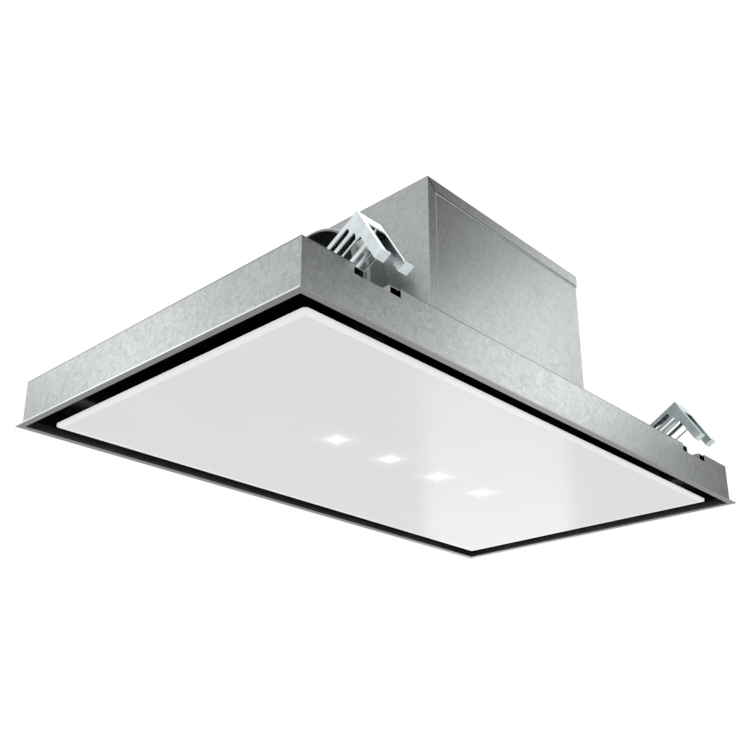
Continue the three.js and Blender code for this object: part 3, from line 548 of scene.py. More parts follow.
def lamp_distance(graph: ShaderGraph, pitch: float) -> Socket:
    """Find how far a place is from the nearest of the four lamps.

    Args:
        graph: the finish's node tree.
        pitch: the lamps' spacing in millimetres.

    Returns:
        The larger of the distances along X and Y, in metres.
    """
    row_end = 1.99 * pitch * MM  # just short of 2, where the remainder would start again from 0
    row = graph.maths("MINIMUM", graph.away(Axis.X), row_end)
    within = graph.maths("SUBTRACT", graph.maths("MODULO", row, pitch * MM), pitch / 2.0 * MM)
    past_end = graph.maths("SUBTRACT", graph.away(Axis.X), row_end)
    along = graph.maths("ADD", graph.maths("ABSOLUTE", within), graph.maths("MAXIMUM", past_end, 0.0))
    return graph.maths("MAXIMUM", along, graph.away(Axis.Y))


@dataclass(frozen=True)
class PaintedGlass(Finish):
    """White back-painted glass, with a painted highlight along its bevelled edge, painted light round each
    lamp window and painted light on the plate's upright edge.
    """

    title: str = "painted_glass"
    slot: Slot = Slot.WHITE_GLASS
    tone: Colour = (0.8, 0.8, 0.805)
    glass_edge_highlight_tone: Colour = (0.93, 0.935, 0.94)
    half_length: float = 414.5
    half_depth: float = 219.5
    edge_width: float = 8.0
    painted_rim_light: float = 0.4
    lamp_pitch: float = 100.0
    lamp_window: float = 20.0
    painted_glow_reach: float = 6.0
    painted_glow: float = 0.22

    def draw(self, graph: ShaderGraph) -> None:
        """Draw an even white under a glossy surface, with painted light at the edge of each window and on the
        upright edge.

        Args:
            graph: the finish's node tree.
        """
        depth = graph.noise(5.0, 2.0)
        paint = graph.tones(depth, self.tone, (0.3, 0.985), (0.7, 1.015))
        edge = graph.tones(depth, self.glass_edge_highlight_tone, (0.3, 0.99), (0.7, 1.01))
        # painted highlight: a lighter band along the bevelled edge, where the facet catches more light
        glass_highlight_band = graph.border(self.half_length, self.half_depth, self.edge_width)
        graph.feed("Base Color", graph.blend(glass_highlight_band, paint, edge))
        graph.feed("Roughness", graph.spread(graph.noise(25.0, 2.0), 0.14, 0.19))
        graph.fix({"IOR": 1.5, "Emission Strength": 1.0})
        graph.feed("Emission Color", graph.tones(self.light(graph), WHITE, (0.0, 0.0), (1.0, 1.0)))

    def light(self, graph: ShaderGraph) -> Socket:
        """Paint light that fades away from each window, and paint light on the plate's upright edge.

        Args:
            graph: the finish's node tree.

        Returns:
            A value from 0 to 1.
        """
        distance = lamp_distance(graph, self.lamp_pitch)
        beyond = graph.maths("SUBTRACT", distance, self.lamp_window / 2.0 * MM)
        fading = graph.maths("EXPONENT", graph.maths("DIVIDE", beyond, -self.painted_glow_reach * MM))
        # painted light: emission in the glass round each lamp window
        painted_halo = graph.maths("MULTIPLY", graph.maths("MINIMUM", fading, 1.0), self.painted_glow)
        # painted highlight: emission on the plate's upright edge
        rim = graph.maths("LESS_THAN", graph.maths("ABSOLUTE", graph.facing.outputs["Z"]), 0.6)
        return graph.maths("MAXIMUM", painted_halo, graph.maths("MULTIPLY", rim, self.painted_rim_light))


@dataclass(frozen=True)
class LampLens(Finish):
    """A frosted lens, lit from behind and brightest in its middle."""

    title: str = "frosted_lens"
    slot: Slot = Slot.LAMP_LENS
    lamp_pitch: float = 100.0
    half_window: float = 9.7
    light: tuple[Colour, ...] = ((1.0, 1.0, 0.98), (0.72, 0.71, 0.67), (0.24, 0.235, 0.21))
    frost: tuple[Colour, ...] = ((0.86, 0.86, 0.84), (0.93, 0.93, 0.92))

    def draw(self, graph: ShaderGraph) -> None:
        """Draw light that is a little weaker at the lens's edge.

        Args:
            graph: the finish's node tree.
        """
        frost = graph.noise(900.0, 2.0)
        share = graph.maths("DIVIDE", lamp_distance(graph, self.lamp_pitch), self.half_window * MM)
        graph.feed("Emission Color", graph.shades(share, list(zip((0.0, 0.55, 1.0), self.light))))
        graph.feed("Base Color", graph.shades(frost, list(zip((0.3, 0.7), self.frost))))
        graph.feed("Roughness", graph.spread(frost, 0.28, 0.42))
        graph.fix({"Emission Strength": 1.1})
        graph.relief(frost, 0.15, 0.0001)


GALVANISED = GalvanisedSheet()
# both folded sheets carry painted shade along their top edge: the walls' fold and the box's top edge
WALL_SHEET = FoldShadedSheet()
BOX_SHEET = FoldShadedSheet("box_sheet", tone=(0.385, 0.4, 0.402), contrast=0.15, fold_height=298.2)
COVER_SHEET = GalvanisedSheet("cover_sheet", tone=(0.375, 0.39, 0.392), contrast=0.13)
# painted shade: a darker copy of the galvanised sheet for the duct collar, which sits in shadow
SHADED_DUCT_SHEET = GalvanisedSheet("shaded_duct_sheet", tone=(0.21, 0.218, 0.22))
BRUSHED = BrushedLip()
ZINC = ZincPlate()
ENAMEL = BlackEnamel()
BLACK_PLASTIC = MouldedPlastic()
GREY_PLASTIC = MouldedPlastic("moulded_grey", Slot.GREY_PLASTIC, (0.09, 0.095, 0.1), roughness=(0.42, 0.62))
GLASS = PaintedGlass()
LENS = LampLens()
ALUMINIUM = SatinAluminium()
RUBBER = MouldedRubber()


# ---------------------------------------------------------------- forms


def polar(radius: float, angle: float) -> Pair:
    """Give the place at a radius and an angle in radians."""
    return radius * math.cos(angle), radius * math.sin(angle)


def wedge(inner: float, outer: float, root: float, tip: float) -> list[Pair]:
    """Draw a bar between two radii, with half its width at its root and at its tip."""
    return [(inner, -root), (outer, -tip), (outer, tip), (inner, root)]


def both_ends(start: float, end: float, width: float) -> tuple[Pair, Pair]:
    """Give the stretch of a width at each end of a length."""
    return (start, start + width), (end - width, end)


def spaced(start: float, end: float, inset: float, count: int) -> list[float]:
    """Space places evenly along a length, the outer ones at an inset from its ends."""
    return [start + inset + step * (end - start - 2.0 * inset) / (count - 1) for step in range(count)]


class Form:
    """A mesh being built, in millimetres."""

    def __init__(self) -> None:
        """Start with nothing."""
        self.mesh = bmesh.new()

    def turned(
        self, profile: Profile, axis: Axis, centre: Point, segments: int = 64, hollow: bool = False
    ) -> "Form":
        """Add a profile turned about an axis.

        Args:
            profile: points of radius and position along the axis.
            axis: the axis.
            centre: a point on the axis, from which positions count.
            segments: steps round the axis.
            hollow: whether the last point joins the first, as on a tube.

        Returns:
            This form.
        """
        placed = Matrix.Translation(centre) @ axis.matrix()
        turns = [2.0 * math.pi * step / segments for step in range(segments)]
        rings: list[list[bmesh.types.BMVert]] = []
        for radius, along in profile:
            steps = turns if radius > 0.0 else turns[:1]
            places = [placed @ Vector((*polar(radius, turn), along)) for turn in steps]
            rings.append([self.mesh.verts.new(place) for place in places])
        faces = []
        pairs = list(zip(rings, rings[1:])) + ([(rings[-1], rings[0])] if hollow else [])
        for lower, upper in pairs:
            for step in range(segments):
                after = (step + 1) % segments
                corners = [lower[step % len(lower)], lower[after % len(lower)],
                           upper[after % len(upper)], upper[step % len(upper)]]
                unique = list(dict.fromkeys(corners))
                if len(unique) > 2:
                    faces.append(self.mesh.faces.new(unique))
        bmesh.ops.recalc_face_normals(self.mesh, faces=faces)
        return self

    def nut(
        self, axis: Axis, centre: Point, bore: float, radius: float, start: float, end: float, chamfer: float
    ) -> "Form":
        """Add a hexagonal nut with chamfered corners.

        Args:
            axis: the thread's axis.
            centre: a point on the axis.
            bore: the radius of its bore.
            radius: the radius over its corners.
            start: where it starts along the axis.
            end: where it ends along the axis.
            chamfer: the chamfer's height.

        Returns:
            This form.
        """
        flat = radius * 0.93
        sides = [(bore, start), (flat, start), (radius, start + chamfer)]
        sides += [(radius, end - chamfer), (flat, end), (bore, end)]
        return self.turned(sides, axis, centre, 6, hollow=True)

    def prism(
        self, outline: Profile, axis: Axis, start: float, end: float, centre: Point = (0.0, 0.0, 0.0)
    ) -> "Form":
        """Add a flat outline pushed along an axis.

        Args:
            outline: the corners, in the plane across the axis.
            axis: the direction it is pushed in.
            start: where it starts along the axis.
            end: where it ends along the axis.
            centre: the outline's origin.

        Returns:
            This form.
        """
        placed = Matrix.Translation(centre) @ axis.matrix()
        low = [self.mesh.verts.new(placed @ Vector((u, v, start))) for u, v in outline]
        high = [self.mesh.verts.new(placed @ Vector((u, v, end))) for u, v in outline]
        faces = [self.mesh.faces.new(low), self.mesh.faces.new(high)]
        for step in range(len(outline)):
            after = (step + 1) % len(outline)
            faces.append(self.mesh.faces.new((low[step], low[after], high[after], high[step])))
        bmesh.ops.recalc_face_normals(self.mesh, faces=faces)
        return self

    def spokes(self, outline: Profile, count: int, start: float, end: float, centre: Point) -> "Form":
        """Add a ring of prisms round an upright axis.

        Args:
            outline: the first one's corners, seen from the axis.
            count: how many there are.
            start: their lower height.
            end: their upper height.
            centre: a point on the axis.

        Returns:
            This form.
        """
        for number in range(count):
            turn = Matrix.Rotation(2.0 * math.pi * number / count, 2)
            self.prism([tuple(turn @ Vector(point)) for point in outline], Axis.Z, start, end, centre)
        return self

    def block(self, low: Point, high: Point, rounding: float) -> "Form":
        """Add a block with rounded edges.

        Args:
            low: its lowest corner.
            high: its highest corner.
            rounding: the radius of its edges.

        Returns:
            This form.
        """
        size = Vector(high) - Vector(low)
        placed = Matrix.Translation((Vector(high) + Vector(low)) / 2.0) @ Matrix.Diagonal((*size, 1.0))
        made = bmesh.ops.create_cube(self.mesh, size=1.0, matrix=placed)
        edges = list({edge for vert in made["verts"] for edge in vert.link_edges})
        bmesh.ops.bevel(self.mesh, geom=edges, offset=rounding, segments=2, profile=0.5, affect="EDGES",
                        clamp_overlap=True)
        return self

    def strip(self, points: Sequence[Vector], width: float, thickness: float) -> "Form":
        """Add a flat strand that follows points in a level plane.

        Args:
            points: the points that it follows.
            width: its width in that plane.
            thickness: its thickness across that plane.

        Returns:
            This form.
        """
        rise = Vector((0.0, 0.0, thickness / 2.0))
        rows = []
        for index, point in enumerate(points):
            ahead = points[min(index + 1, len(points) - 1)] - points[max(index - 1, 0)]
            across = Vector((-ahead.y, ahead.x, 0.0)).normalized() * (width / 2.0)
            offsets = (across + rise, rise - across, -across - rise, across - rise)
            rows.append([self.mesh.verts.new(point + offset) for offset in offsets])
        for near, far in zip(rows, rows[1:]):
            for step in range(4):
                after = (step + 1) % 4
                self.mesh.faces.new((near[step], near[after], far[after], far[step]))
        self.mesh.faces.new(reversed(rows[0]))
        self.mesh.faces.new(rows[-1])
        return self

    def screw(self, place: Point, axis: Axis = Axis.Z, radius: float = 3.2, height: float = 1.8) -> "Form":
        """Add a pan-head screw with a cross recess.

        Args:
            place: where the head meets the sheet.
            axis: the axis that the head points along.
            radius: the head's radius.
            height: the head's height.

        Returns:
            This form.
        """
        steps = 5
        dome = [(0.0, height * 0.75), (radius * 0.22, height * 0.75), (radius * 0.3, height)]
        for step in range(steps + 1):
            angle = math.radians(66.0 * (steps - step) / steps)
            dome.append((radius * math.cos(angle), height * (0.35 + 0.65 * math.sin(angle))))
        return self.turned([*dome, (radius, 0.0)], axis, place, 20)

    def rivet(self, place: Point, radius: float = 3.0, height: float = 1.1) -> "Form":
        """Add a domed blind rivet on a level sheet.

        Args:
            place: where the head meets the sheet.
            radius: the head's radius.
            height: the head's height.

        Returns:
            This form.
        """
        dome = [(0.0, height * 0.5), (radius * 0.3, height * 0.5), (radius * 0.36, height)]
        dome += [(radius * 0.7, height * 0.8), (radius * 0.93, height * 0.45), (radius, 0.0)]
        return self.turned(dome, Axis.Z, place, 20)

    def piece(self, title: str, sharp: float = 35.0) -> bpy.types.Object:
        """Finish the form as an object in metres.

        Args:
            title: the piece's name.
            sharp: the angle in degrees above which an edge stays sharp.

        Returns:
            The object.
        """
        self.mesh.transform(Matrix.Scale(MM, 4))
        return shown(title, baked(title, self.mesh), sharp)


def baked(title: str, form: bmesh.types.BMesh) -> bpy.types.Mesh:
    """Turn a mesh that was being built into a mesh to show.

    Args:
        title: the mesh's name.
        form: the mesh that was being built, which ends here.

    Returns:
        The mesh.
    """
    mesh = bpy.data.meshes.new(title)
    form.to_mesh(mesh)
    form.free()
    return mesh


def shown(title: str, mesh: bpy.types.Mesh, sharp: float) -> bpy.types.Object:
    """Put a mesh in the scene, smooth except at its sharp edges.

    Args:
        title: the piece's name.
        mesh: its mesh.
        sharp: the angle in degrees above which an edge stays sharp.

    Returns:
        The object.
    """
    for face in mesh.polygons:
        face.use_smooth = True
    mesh.set_sharp_from_angle(angle=math.radians(sharp))
    piece = bpy.data.objects.new(title, mesh)
    bpy.context.scene.collection.objects.link(piece)
    return piece


# ---------------------------------------------------------------- the frame


@dataclass
class Workshop:
    """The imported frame, and the ways to put pieces on it."""

    frame: dict
    weld: float = 0.002
    flat_angle: float = 0.5
    fold_angle: float = 28.0

    def body(self, node: str) -> str:
        """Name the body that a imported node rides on."""
        return self.frame["nodes"][node]["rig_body"]

    def limits(self, node: str) -> tuple[Vector, Vector]:
        """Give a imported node's lowest and highest corners in millimetres."""
        low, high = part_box(node)
        return low / MM, high / MM

    def turning(self, node: str, axis: Axis) -> tuple[Vector, Vector, Point]:
        """Place a round piece.

        Args:
            node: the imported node.
            axis: the axis that it is round about.

        Returns:
            Its lowest and highest corners, and the point on its axis from which positions count.
        """
        low, high = self.limits(node)
        middle = zip("XYZ", (low + high) / 2.0)
        return low, high, tuple(0.0 if name == axis.value else place for name, place in middle)

    def fit(self, piece: bpy.types.Object, finish: Finish, body: str, *nodes: str) -> None:
        """Give a piece its finish and let it ride on a body.

        Args:
            piece: the piece.
            finish: its finish.
            body: the body that it moves with.
            nodes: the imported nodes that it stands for.
        """
        piece.data.materials.clear()
        piece.data.materials.append(finish.material())
        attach(piece, body)
        if nodes:
            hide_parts(*nodes)

    def keep(self, node: str, finish: Finish) -> None:
        """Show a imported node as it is, in a better finish.

        Args:
            node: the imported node.
            finish: its finish.
        """
        piece = self.frame["nodes"][node]
        piece.data.materials.clear()
        piece.data.materials.append(finish.material())

    def refine(
        self, node: str, finish: Finish, edge: float, suffix: str = "sheet", crease: float = 20.0
    ) -> None:
        """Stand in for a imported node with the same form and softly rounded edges.

        Args:
            node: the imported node.
            finish: its finish.
            edge: the rounding of its edges.
            suffix: what the piece's name adds to the node's.
            crease: the angle in degrees above which an edge is left sharp, before the rounding.
        """
        form = bmesh.new()
        form.from_mesh(self.frame["nodes"][node].data)
        bmesh.ops.remove_doubles(form, verts=form.verts, dist=self.weld * MM)
        flat = math.radians(self.flat_angle)
        bmesh.ops.dissolve_limit(form, angle_limit=flat, verts=form.verts, edges=form.edges)
        piece = shown(f"{node}_{suffix}", baked(node, form), crease)
        rounding = piece.modifiers.new("rounding", "BEVEL")
        rounding.width = edge * MM
        rounding.segments = 2
        rounding.limit_method = "ANGLE"
        rounding.angle_limit = math.radians(self.fold_angle)
        rounding.harden_normals = True
        rounded = bpy.data.meshes.new_from_object(piece.evaluated_get(bpy.context.evaluated_depsgraph_get()))
        piece.modifiers.clear()
        piece.data = rounded
        self.fit(piece, finish, self.body(node), node)


# ---------------------------------------------------------------- sub-assemblies


@dataclass
class RecessFrame:
    """The lip, the frame walls, the black recess and the deck above it."""

    shop: Workshop
    flange_width: float = 14.0
    long_rivets: tuple[float, ...] = (-250.0, -125.0, 0.0, 125.0, 250.0)
    short_rivets: tuple[float, ...] = (-130.0, 0.0, 130.0)

    def build(self) -> None:
        """Dress the four sheets and rivet the flange to the deck."""
        self.shop.refine("lip_profile", BRUSHED, 0.3)
        self.shop.refine("frame_walls", WALL_SHEET, 0.4)
        self.shop.refine("recess_tray", ENAMEL, 0.3)
        self.shop.refine("top_deck", GALVANISED, 0.2)
        self.rivets()

    def rivets(self) -> None:
        """Set the rivets on the frame's top flange."""
        low, high = self.shop.limits("frame_walls")
        form = Form()
        inset = self.flange_width / 2.0
        for x in self.long_rivets:
            for y in (low.y + inset, high.y - inset):
                form.rivet((x, y, high.z))
        for y in self.short_rivets:
            for x in (low.x + inset, high.x - inset):
                form.rivet((x, y, high.z))
        self.shop.fit(form.piece("flange_rivets"), ALUMINIUM, "chassis")


@dataclass
class CeilingClamps:
    """The four swinging clamps, with the bolt that each turns on."""

    shop: Workshop
    count: int = 4
    head_height: float = 4.0
    nut_height: float = 4.0
    nut_inset: float = 1.0
    nut_chamfer: float = 0.5
    shank: float = 4.0
    thread_depth: float = 0.35
    thread_pitch: float = 1.25
    tip_chamfer: float = 0.6

    def build(self) -> None:
        """Dress each clamp's bracket, base and bolt."""
        for number in range(1, self.count + 1):
            self.shop.refine(f"clamp_bracket_{number}", ZINC, 0.35)
            self.shop.refine(f"clamp_base_{number}", GALVANISED, 0.25)
            self.bolt(f"clamp_bolt_{number}")

    def bolt(self, node: str) -> None:
        """Make a domed bolt with a hexagonal nut on the end of its thread.

        Args:
            node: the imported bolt.
        """
        low, high, centre = self.shop.turning(node, Axis.X)
        reach = (high.z - low.z) / 2.0
        head = low.x + self.head_height
        end = high.x - self.nut_inset
        start = end - self.nut_height
        dome = [(0.0, low.x), (reach * 0.55, low.x), (reach * 0.85, low.x + 0.8)]
        dome += [(reach, low.x + 2.2), (reach, head), (0.0, head)]
        form = Form().turned(dome, Axis.X, centre, 40)
        thread = [(0.0, head), (self.shank, head), (self.shank, start)]
        along = start
        while along + self.thread_pitch < high.x - 0.5:
            thread.append((self.shank - self.thread_depth, along + self.thread_pitch / 2.0))
            along += self.thread_pitch
            thread.append((self.shank, along))
        thread += [(self.shank - self.tip_chamfer, high.x), (0.0, high.x)]
        form.turned(thread, Axis.X, centre, 24)
        form.nut(Axis.X, centre, self.shank, reach, start, end, self.nut_chamfer)
        self.shop.fit(form.piece(f"{node}_turned", 30.0), ZINC, self.shop.body(node), node)


@dataclass
class MotorBox:
    """The fan's housing: a shell, its screwed-on cover and the cable gland."""

    shop: Workshop
    side_border: float = 14.5
    top_border: float = 15.0
    sheet: float = 1.2
    top_hem: float = 2.4
    side_hem: float = 1.5
    foot: float = 4.0
    clearance: float = 0.4
    mitre_shade_width: float = 2.3
    mitre_shade_taper: Pair = (0.6, 2.0)
    mitre_shade_relief: Pair = (0.05, 0.4)
    screw_inset: float = 7.0
    back_screws: tuple[float, ...] = (-150.0, -50.0, 50.0, 150.0)
    side_screws: tuple[float, ...] = (75.0, 145.0, 215.0, 285.0)
    gland_bore: float = 4.5
    gland_neck: float = 8.0
    gland_cap: float = 10.0
    nut_height: float = 5.0
    nut_chamfer: float = 0.6
    cap_nut: float = 14.0
    ribs: int = 16
    rib_radius: float = 0.55
    rib_span: Pair = (8.6, 4.8)

    def build(self) -> None:
        """Dress the sheets, the cover's hem, the painted shade in the mitre, the screws and the gland."""
        self.shop.refine("motor_box_shell", BOX_SHEET, 0.35)
        self.shop.refine("motor_box_cover", COVER_SHEET, 0.3)
        self.hems()
        self.mitre()
        self.screws()
        self.gland()

    def hems(self) -> None:
        """Roll the cover's edge into a round hem beside the shell's borders."""
        low, high = self.shop.limits("motor_box_shell")
        face = low.y + self.sheet
        left = low.x + self.side_border + self.clearance + self.side_hem / 2.0
        top = high.z - self.top_border - self.clearance - self.top_hem / 2.0
        form = Form()
        upright = [(left + across, face - rise) for across, rise in self.half_round(self.side_hem)]
        form.prism(upright, Axis.Z, low.z + self.foot, top + self.top_hem / 2.0)
        level = [(-(top + across), face - rise) for across, rise in self.half_round(self.top_hem)]
        form.prism(level, Axis.X, left, high.x - self.sheet)
        self.shop.fit(form.piece("motor_box_hem", 50.0), GALVANISED, "chassis")

    def half_round(self, width: float) -> list[Pair]:
        """Draw a hem's section, as wide as given and as high as the sheet is thick."""
        turns = [math.pi * step / 8.0 for step in range(9)]
        return [(width / 2.0 * math.cos(turn), self.sheet * math.sin(turn)) for turn in turns]

    def mitre(self) -> None:
        """Lay a dark strip in the mitre between the shell's side and top borders: painted shade in place of
        the open mitre's shadow.
        """
        low, high = self.shop.limits("motor_box_shell")
        corner = Vector((low.x, -high.z))
        inner = corner + Vector((self.side_border, self.top_border))
        along = (inner - corner).normalized()
        across = Vector((-along.y, along.x)) * (self.mitre_shade_width / 2.0)
        tip, start = (corner + along * reach for reach in self.mitre_shade_taper)
        points = (tip, start + across, inner + across, inner - across, start - across)
        proud, sunk = self.mitre_shade_relief
        # painted shade: a dark strip where the open mitre would only show shadow
        form = Form().prism([tuple(point) for point in points], Axis.Y, low.y - proud, low.y + sunk)
        self.shop.fit(form.piece("motor_box_mitre_shade"), RUBBER, "chassis")

    def screws(self) -> None:
        """Set the screws along the back of the box and its right side's rear edge."""
        high = self.shop.limits("motor_box_shell")[1]
        form = Form()
        for x in self.back_screws:
            form.screw((x, high.y, high.z - self.screw_inset), Axis.Y)
        for z in self.side_screws:
            form.screw((high.x, high.y - self.screw_inset, z), Axis.X)
        self.shop.fit(form.piece("box_screws"), ZINC, "chassis")

    def gland(self) -> None:
        """Make the cable gland: two hexagons, a ribbed cap and its open bore."""
        low, high, centre = self.shop.turning("mains_gland", Axis.Y)
        half = (high.z - low.z) / 2.0
        bore, neck, cap = self.gland_bore, self.gland_neck, self.gland_cap
        start, end = low.y, high.y
        body = [(bore, start), (neck, start), (neck, end - 13.0), (cap - 0.8, end - 12.6), (cap, end - 9.0)]
        body += [(cap, end - 5.0), (cap - 0.7, end - 2.6), (cap - 2.6, end - 0.9), (bore + 1.1, end)]
        form = Form().turned([*body, (bore, end)], Axis.Y, centre, 64, hollow=True)
        for foot in (start, end - self.cap_nut):
            form.nut(Axis.Y, centre, neck, half, foot, foot + self.nut_height, self.nut_chamfer)
        root, tip = (end - depth for depth in self.rib_span)
        rod = [(0.0, root), (self.rib_radius, root), (self.rib_radius, tip), (0.0, tip)]
        for rib in range(self.ribs):
            x, z = polar(cap - 0.1, 2.0 * math.pi * rib / self.ribs)
            form.turned(rod, Axis.Y, (centre[0] + x, 0.0, centre[2] + z), 8)
        self.shop.fit(form.piece("mains_gland_turned", 30.0), BLACK_PLASTIC, "chassis", "mains_gland")


@dataclass
class DuctOutlet:
    """The round collar on the left of the box, with its two non-return flaps."""

    shop: Workshop
    radius: float = 75.0
    wall: float = 1.2
    bead: float = -200.0
    bead_height: float = 3.0
    bead_half: float = 4.2
    rim: float = 4.5

    def build(self) -> None:
        """Dress the collar, its spindle and the flaps."""
        self.collar()
        self.shop.keep("flap_spindle", ZINC)
        for node in ("flap_near", "flap_far"):
            self.shop.refine(node, BLACK_PLASTIC, 0.2)

    def collar(self) -> None:
        """Turn the collar, with a stiffening bead, a rolled rim and the flange inside the box's wall."""
        low, high, centre = self.shop.turning("duct_collar", Axis.X)
        flange = (high.z - low.z) / 2.0
        root = high.x - self.wall
        start = low.x
        fold = start + self.rim
        profile = [(self.radius - self.wall, high.x), (self.radius - self.wall, start + 1.5)]
        profile += [(self.radius - self.wall + 0.6, start)]
        for turn in (0.0, 0.35, 0.7, 1.05, 1.4):
            profile.append((self.radius + self.rim * math.sin(turn), fold - self.rim * math.cos(turn)))
        profile += [(self.radius + self.rim * 0.6, fold + 0.6), (self.radius, fold + 2.4)]
        for step in range(-5, 6):
            height = self.bead_height * math.cos(math.pi / 10.0 * step)
            profile.append((self.radius + height, self.bead + self.bead_half * step / 5.0))
        profile += [(self.radius, root), (flange, root), (flange, high.x)]
        form = Form().turned(profile, Axis.X, centre, 144, hollow=True)
        self.shop.fit(form.piece("duct_collar_rolled", 40.0), SHADED_DUCT_SHEET, "chassis", "duct_collar")


@dataclass
class Blower:
    """The fan inside the box: scroll, inlet ring, impeller, motor and rubber mounts."""

    shop: Workshop
    blades: int = 34
    eye: float = 72.0
    rim: float = 88.0
    blade_thickness: float = 1.2
    sweep: float = 9.0
    bow: float = 3.5
    ring: float = 4.0
    bore: float = 5.4
    hub: float = 14.0
    plate: float = 2.5
    ribs: int = 6
    rib_depth: float = 7.0
    motor_radius: float = 58.0
    motor_seat: float = 34.0
    motor_depth: float = 48.0
    flange_screws: int = 6
    slot_shades: int = 18
    mounts: int = 4
    mount_end: float = 4.0
    waist: float = 2.6

    def build(self) -> None:
        """Dress the fan's pieces."""
        self.shop.refine("fan_scroll", GREY_PLASTIC, 0.4, "moulding")
        self.shop.refine("inlet_ring", BLACK_PLASTIC, 0.2, "moulding")
        self.wheel()
        self.backplate()
        self.motor()
        for number in range(1, self.mounts + 1):
            self.mount(f"fan_mount_{number}")

    def wheel(self) -> None:
        """Make the ring of forward-curved blades."""
        low, high, centre = self.shop.turning("blade_ring", Axis.Z)
        eye, rim, foot = self.eye, self.rim, low.z
        top = foot + self.ring
        profile = [(eye, foot + 0.6), (eye + 0.6, foot), (rim - 0.6, foot), (rim, foot + 0.6)]
        profile += [(rim, top - 0.5), (rim - 0.5, top), (eye + 0.5, top), (eye, top - 0.5)]
        form = Form().turned(profile, Axis.Z, centre, 128, hollow=True)
        form.spokes(self.blade(), self.blades, top - 0.3, high.z, centre)
        self.shop.fit(form.piece("blade_ring_moulded", 30.0), BLACK_PLASTIC, "fan_wheel", "blade_ring")

    def blade(self) -> list[Pair]:
        """Draw one blade's section.

        Returns:
            Its outline, from the eye to the tip and back.
        """
        tip = Vector(polar(self.rim - 0.6, -math.radians(self.sweep)))
        root = Vector((self.eye + 0.3, 0.0))
        control = (root + tip) / 2.0 + Vector((self.bow / 2.0, self.bow))
        steps = 8
        line, back = [], []
        for share in (step / steps for step in range(steps + 1)):
            line.append((1 - share) ** 2 * root + 2 * share * (1 - share) * control + share**2 * tip)
        for index, point in enumerate(line):
            ahead = line[min(index + 1, steps)] - line[max(index - 1, 0)]
            across = Vector((-ahead.y, ahead.x)).normalized()
            taper = self.blade_thickness * (0.5 if index in (0, steps) else 1.0)
            back.append(point - across * taper)
        return [tuple(point) for point in line + back[::-1]]

    def backplate(self) -> None:
        """Make the impeller's back plate, with its hub, ribs and collar."""
        low, high, centre = self.shop.turning("impeller", Axis.Z)
        bore, hub, rim, top = self.bore, self.hub, self.rim, high.z
        plate = top - self.plate
        profile = [(bore, low.z), (hub - 1.4, low.z), (hub, low.z + 1.2), (hub, plate - 5.0)]
        profile += [(hub + 5.0, plate), (rim - 0.5, plate), (rim, plate + 0.5), (rim, top - 0.5)]
        profile += [(rim - 0.5, top), (bore, top)]
        form = Form().turned(profile, Axis.Z, centre, 128, hollow=True)
        form.spokes(wedge(hub - 0.5, 60.0, 1.0, 0.8), self.ribs, plate - self.rib_depth, plate + 0.2, centre)
        self.shop.fit(form.piece("impeller_moulded", 30.0), BLACK_PLASTIC, "fan_wheel", "impeller")

    def motor(self) -> None:
        """Make the motor: a pressed can with black wedges for its cooling slot openings, painted shade in
        place of holes, a flange, screws and its shaft.
        """
        low, high, centre = self.shop.turning("motor", Axis.Z)
        radius, flange, top = self.motor_radius, (high.x - low.x) / 2.0, high.z
        seat, bottom = top - self.motor_seat, top - self.motor_depth
        can = [(0.0, low.z), (4.2, low.z), (5.0, low.z + 0.8), (5.0, bottom), (radius - 7.0, bottom)]
        can += [(radius - 2.5, bottom + 2.0), (radius, bottom + 6.5), (radius, seat), (flange - 0.8, seat)]
        can += [(flange, seat + 0.8), (flange, seat + 2.2), (flange - 0.8, seat + 3.0)]
        can += [(radius + 1.5, seat + 3.0), (radius, seat + 4.5), (radius, top - 8.0)]
        can += [(radius - 2.2, top - 2.8), (radius - 7.0, top - 0.6), (24.0, top - 0.6), (22.0, top - 2.6)]
        can += [(14.0, top - 2.6), (12.0, top), (0.0, top)]
        form = Form().turned(can, Axis.Z, centre, 128)
        for number in range(self.flange_screws):
            x, y = polar(flange - 5.5, 2.0 * math.pi * (number + 0.5) / self.flange_screws)
            form.screw((centre[0] + x, centre[1] + y, seat + 3.0), radius=2.8)
        self.shop.fit(form.piece("motor_can", 38.0), GALVANISED, "chassis", "motor")
        # painted shade: black wedges set into the can's top stand for open cooling slot holes
        slot_shades = Form().spokes(wedge(30.0, 46.0, 1.5, 2.4), self.slot_shades, top - 0.9, top - 0.45, centre)
        self.shop.fit(slot_shades.piece("motor_slot_shades"), BLACK_PLASTIC, "chassis")

    def mount(self, node: str) -> None:
        """Make a waisted rubber mount.

        Args:
            node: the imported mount.
        """
        low, high, centre = self.shop.turning(node, Axis.Z)
        radius = (high.x - low.x) / 2.0
        length = high.z - low.z - 2.0 * self.mount_end
        foot = low.z + self.mount_end
        profile = [(0.0, low.z), (radius - 0.8, low.z), (radius, low.z + 0.8), (radius, foot)]
        for share in (step / 8.0 for step in range(9)):
            profile.append((radius - self.waist * math.sin(math.pi * share), foot + length * share))
        profile += [(radius, high.z - 0.8), (radius - 0.8, high.z), (0.0, high.z)]
        form = Form().turned(profile, Axis.Z, centre, 48)
        self.shop.fit(form.piece(f"{node}_rubber", 40.0), RUBBER, "chassis", node)


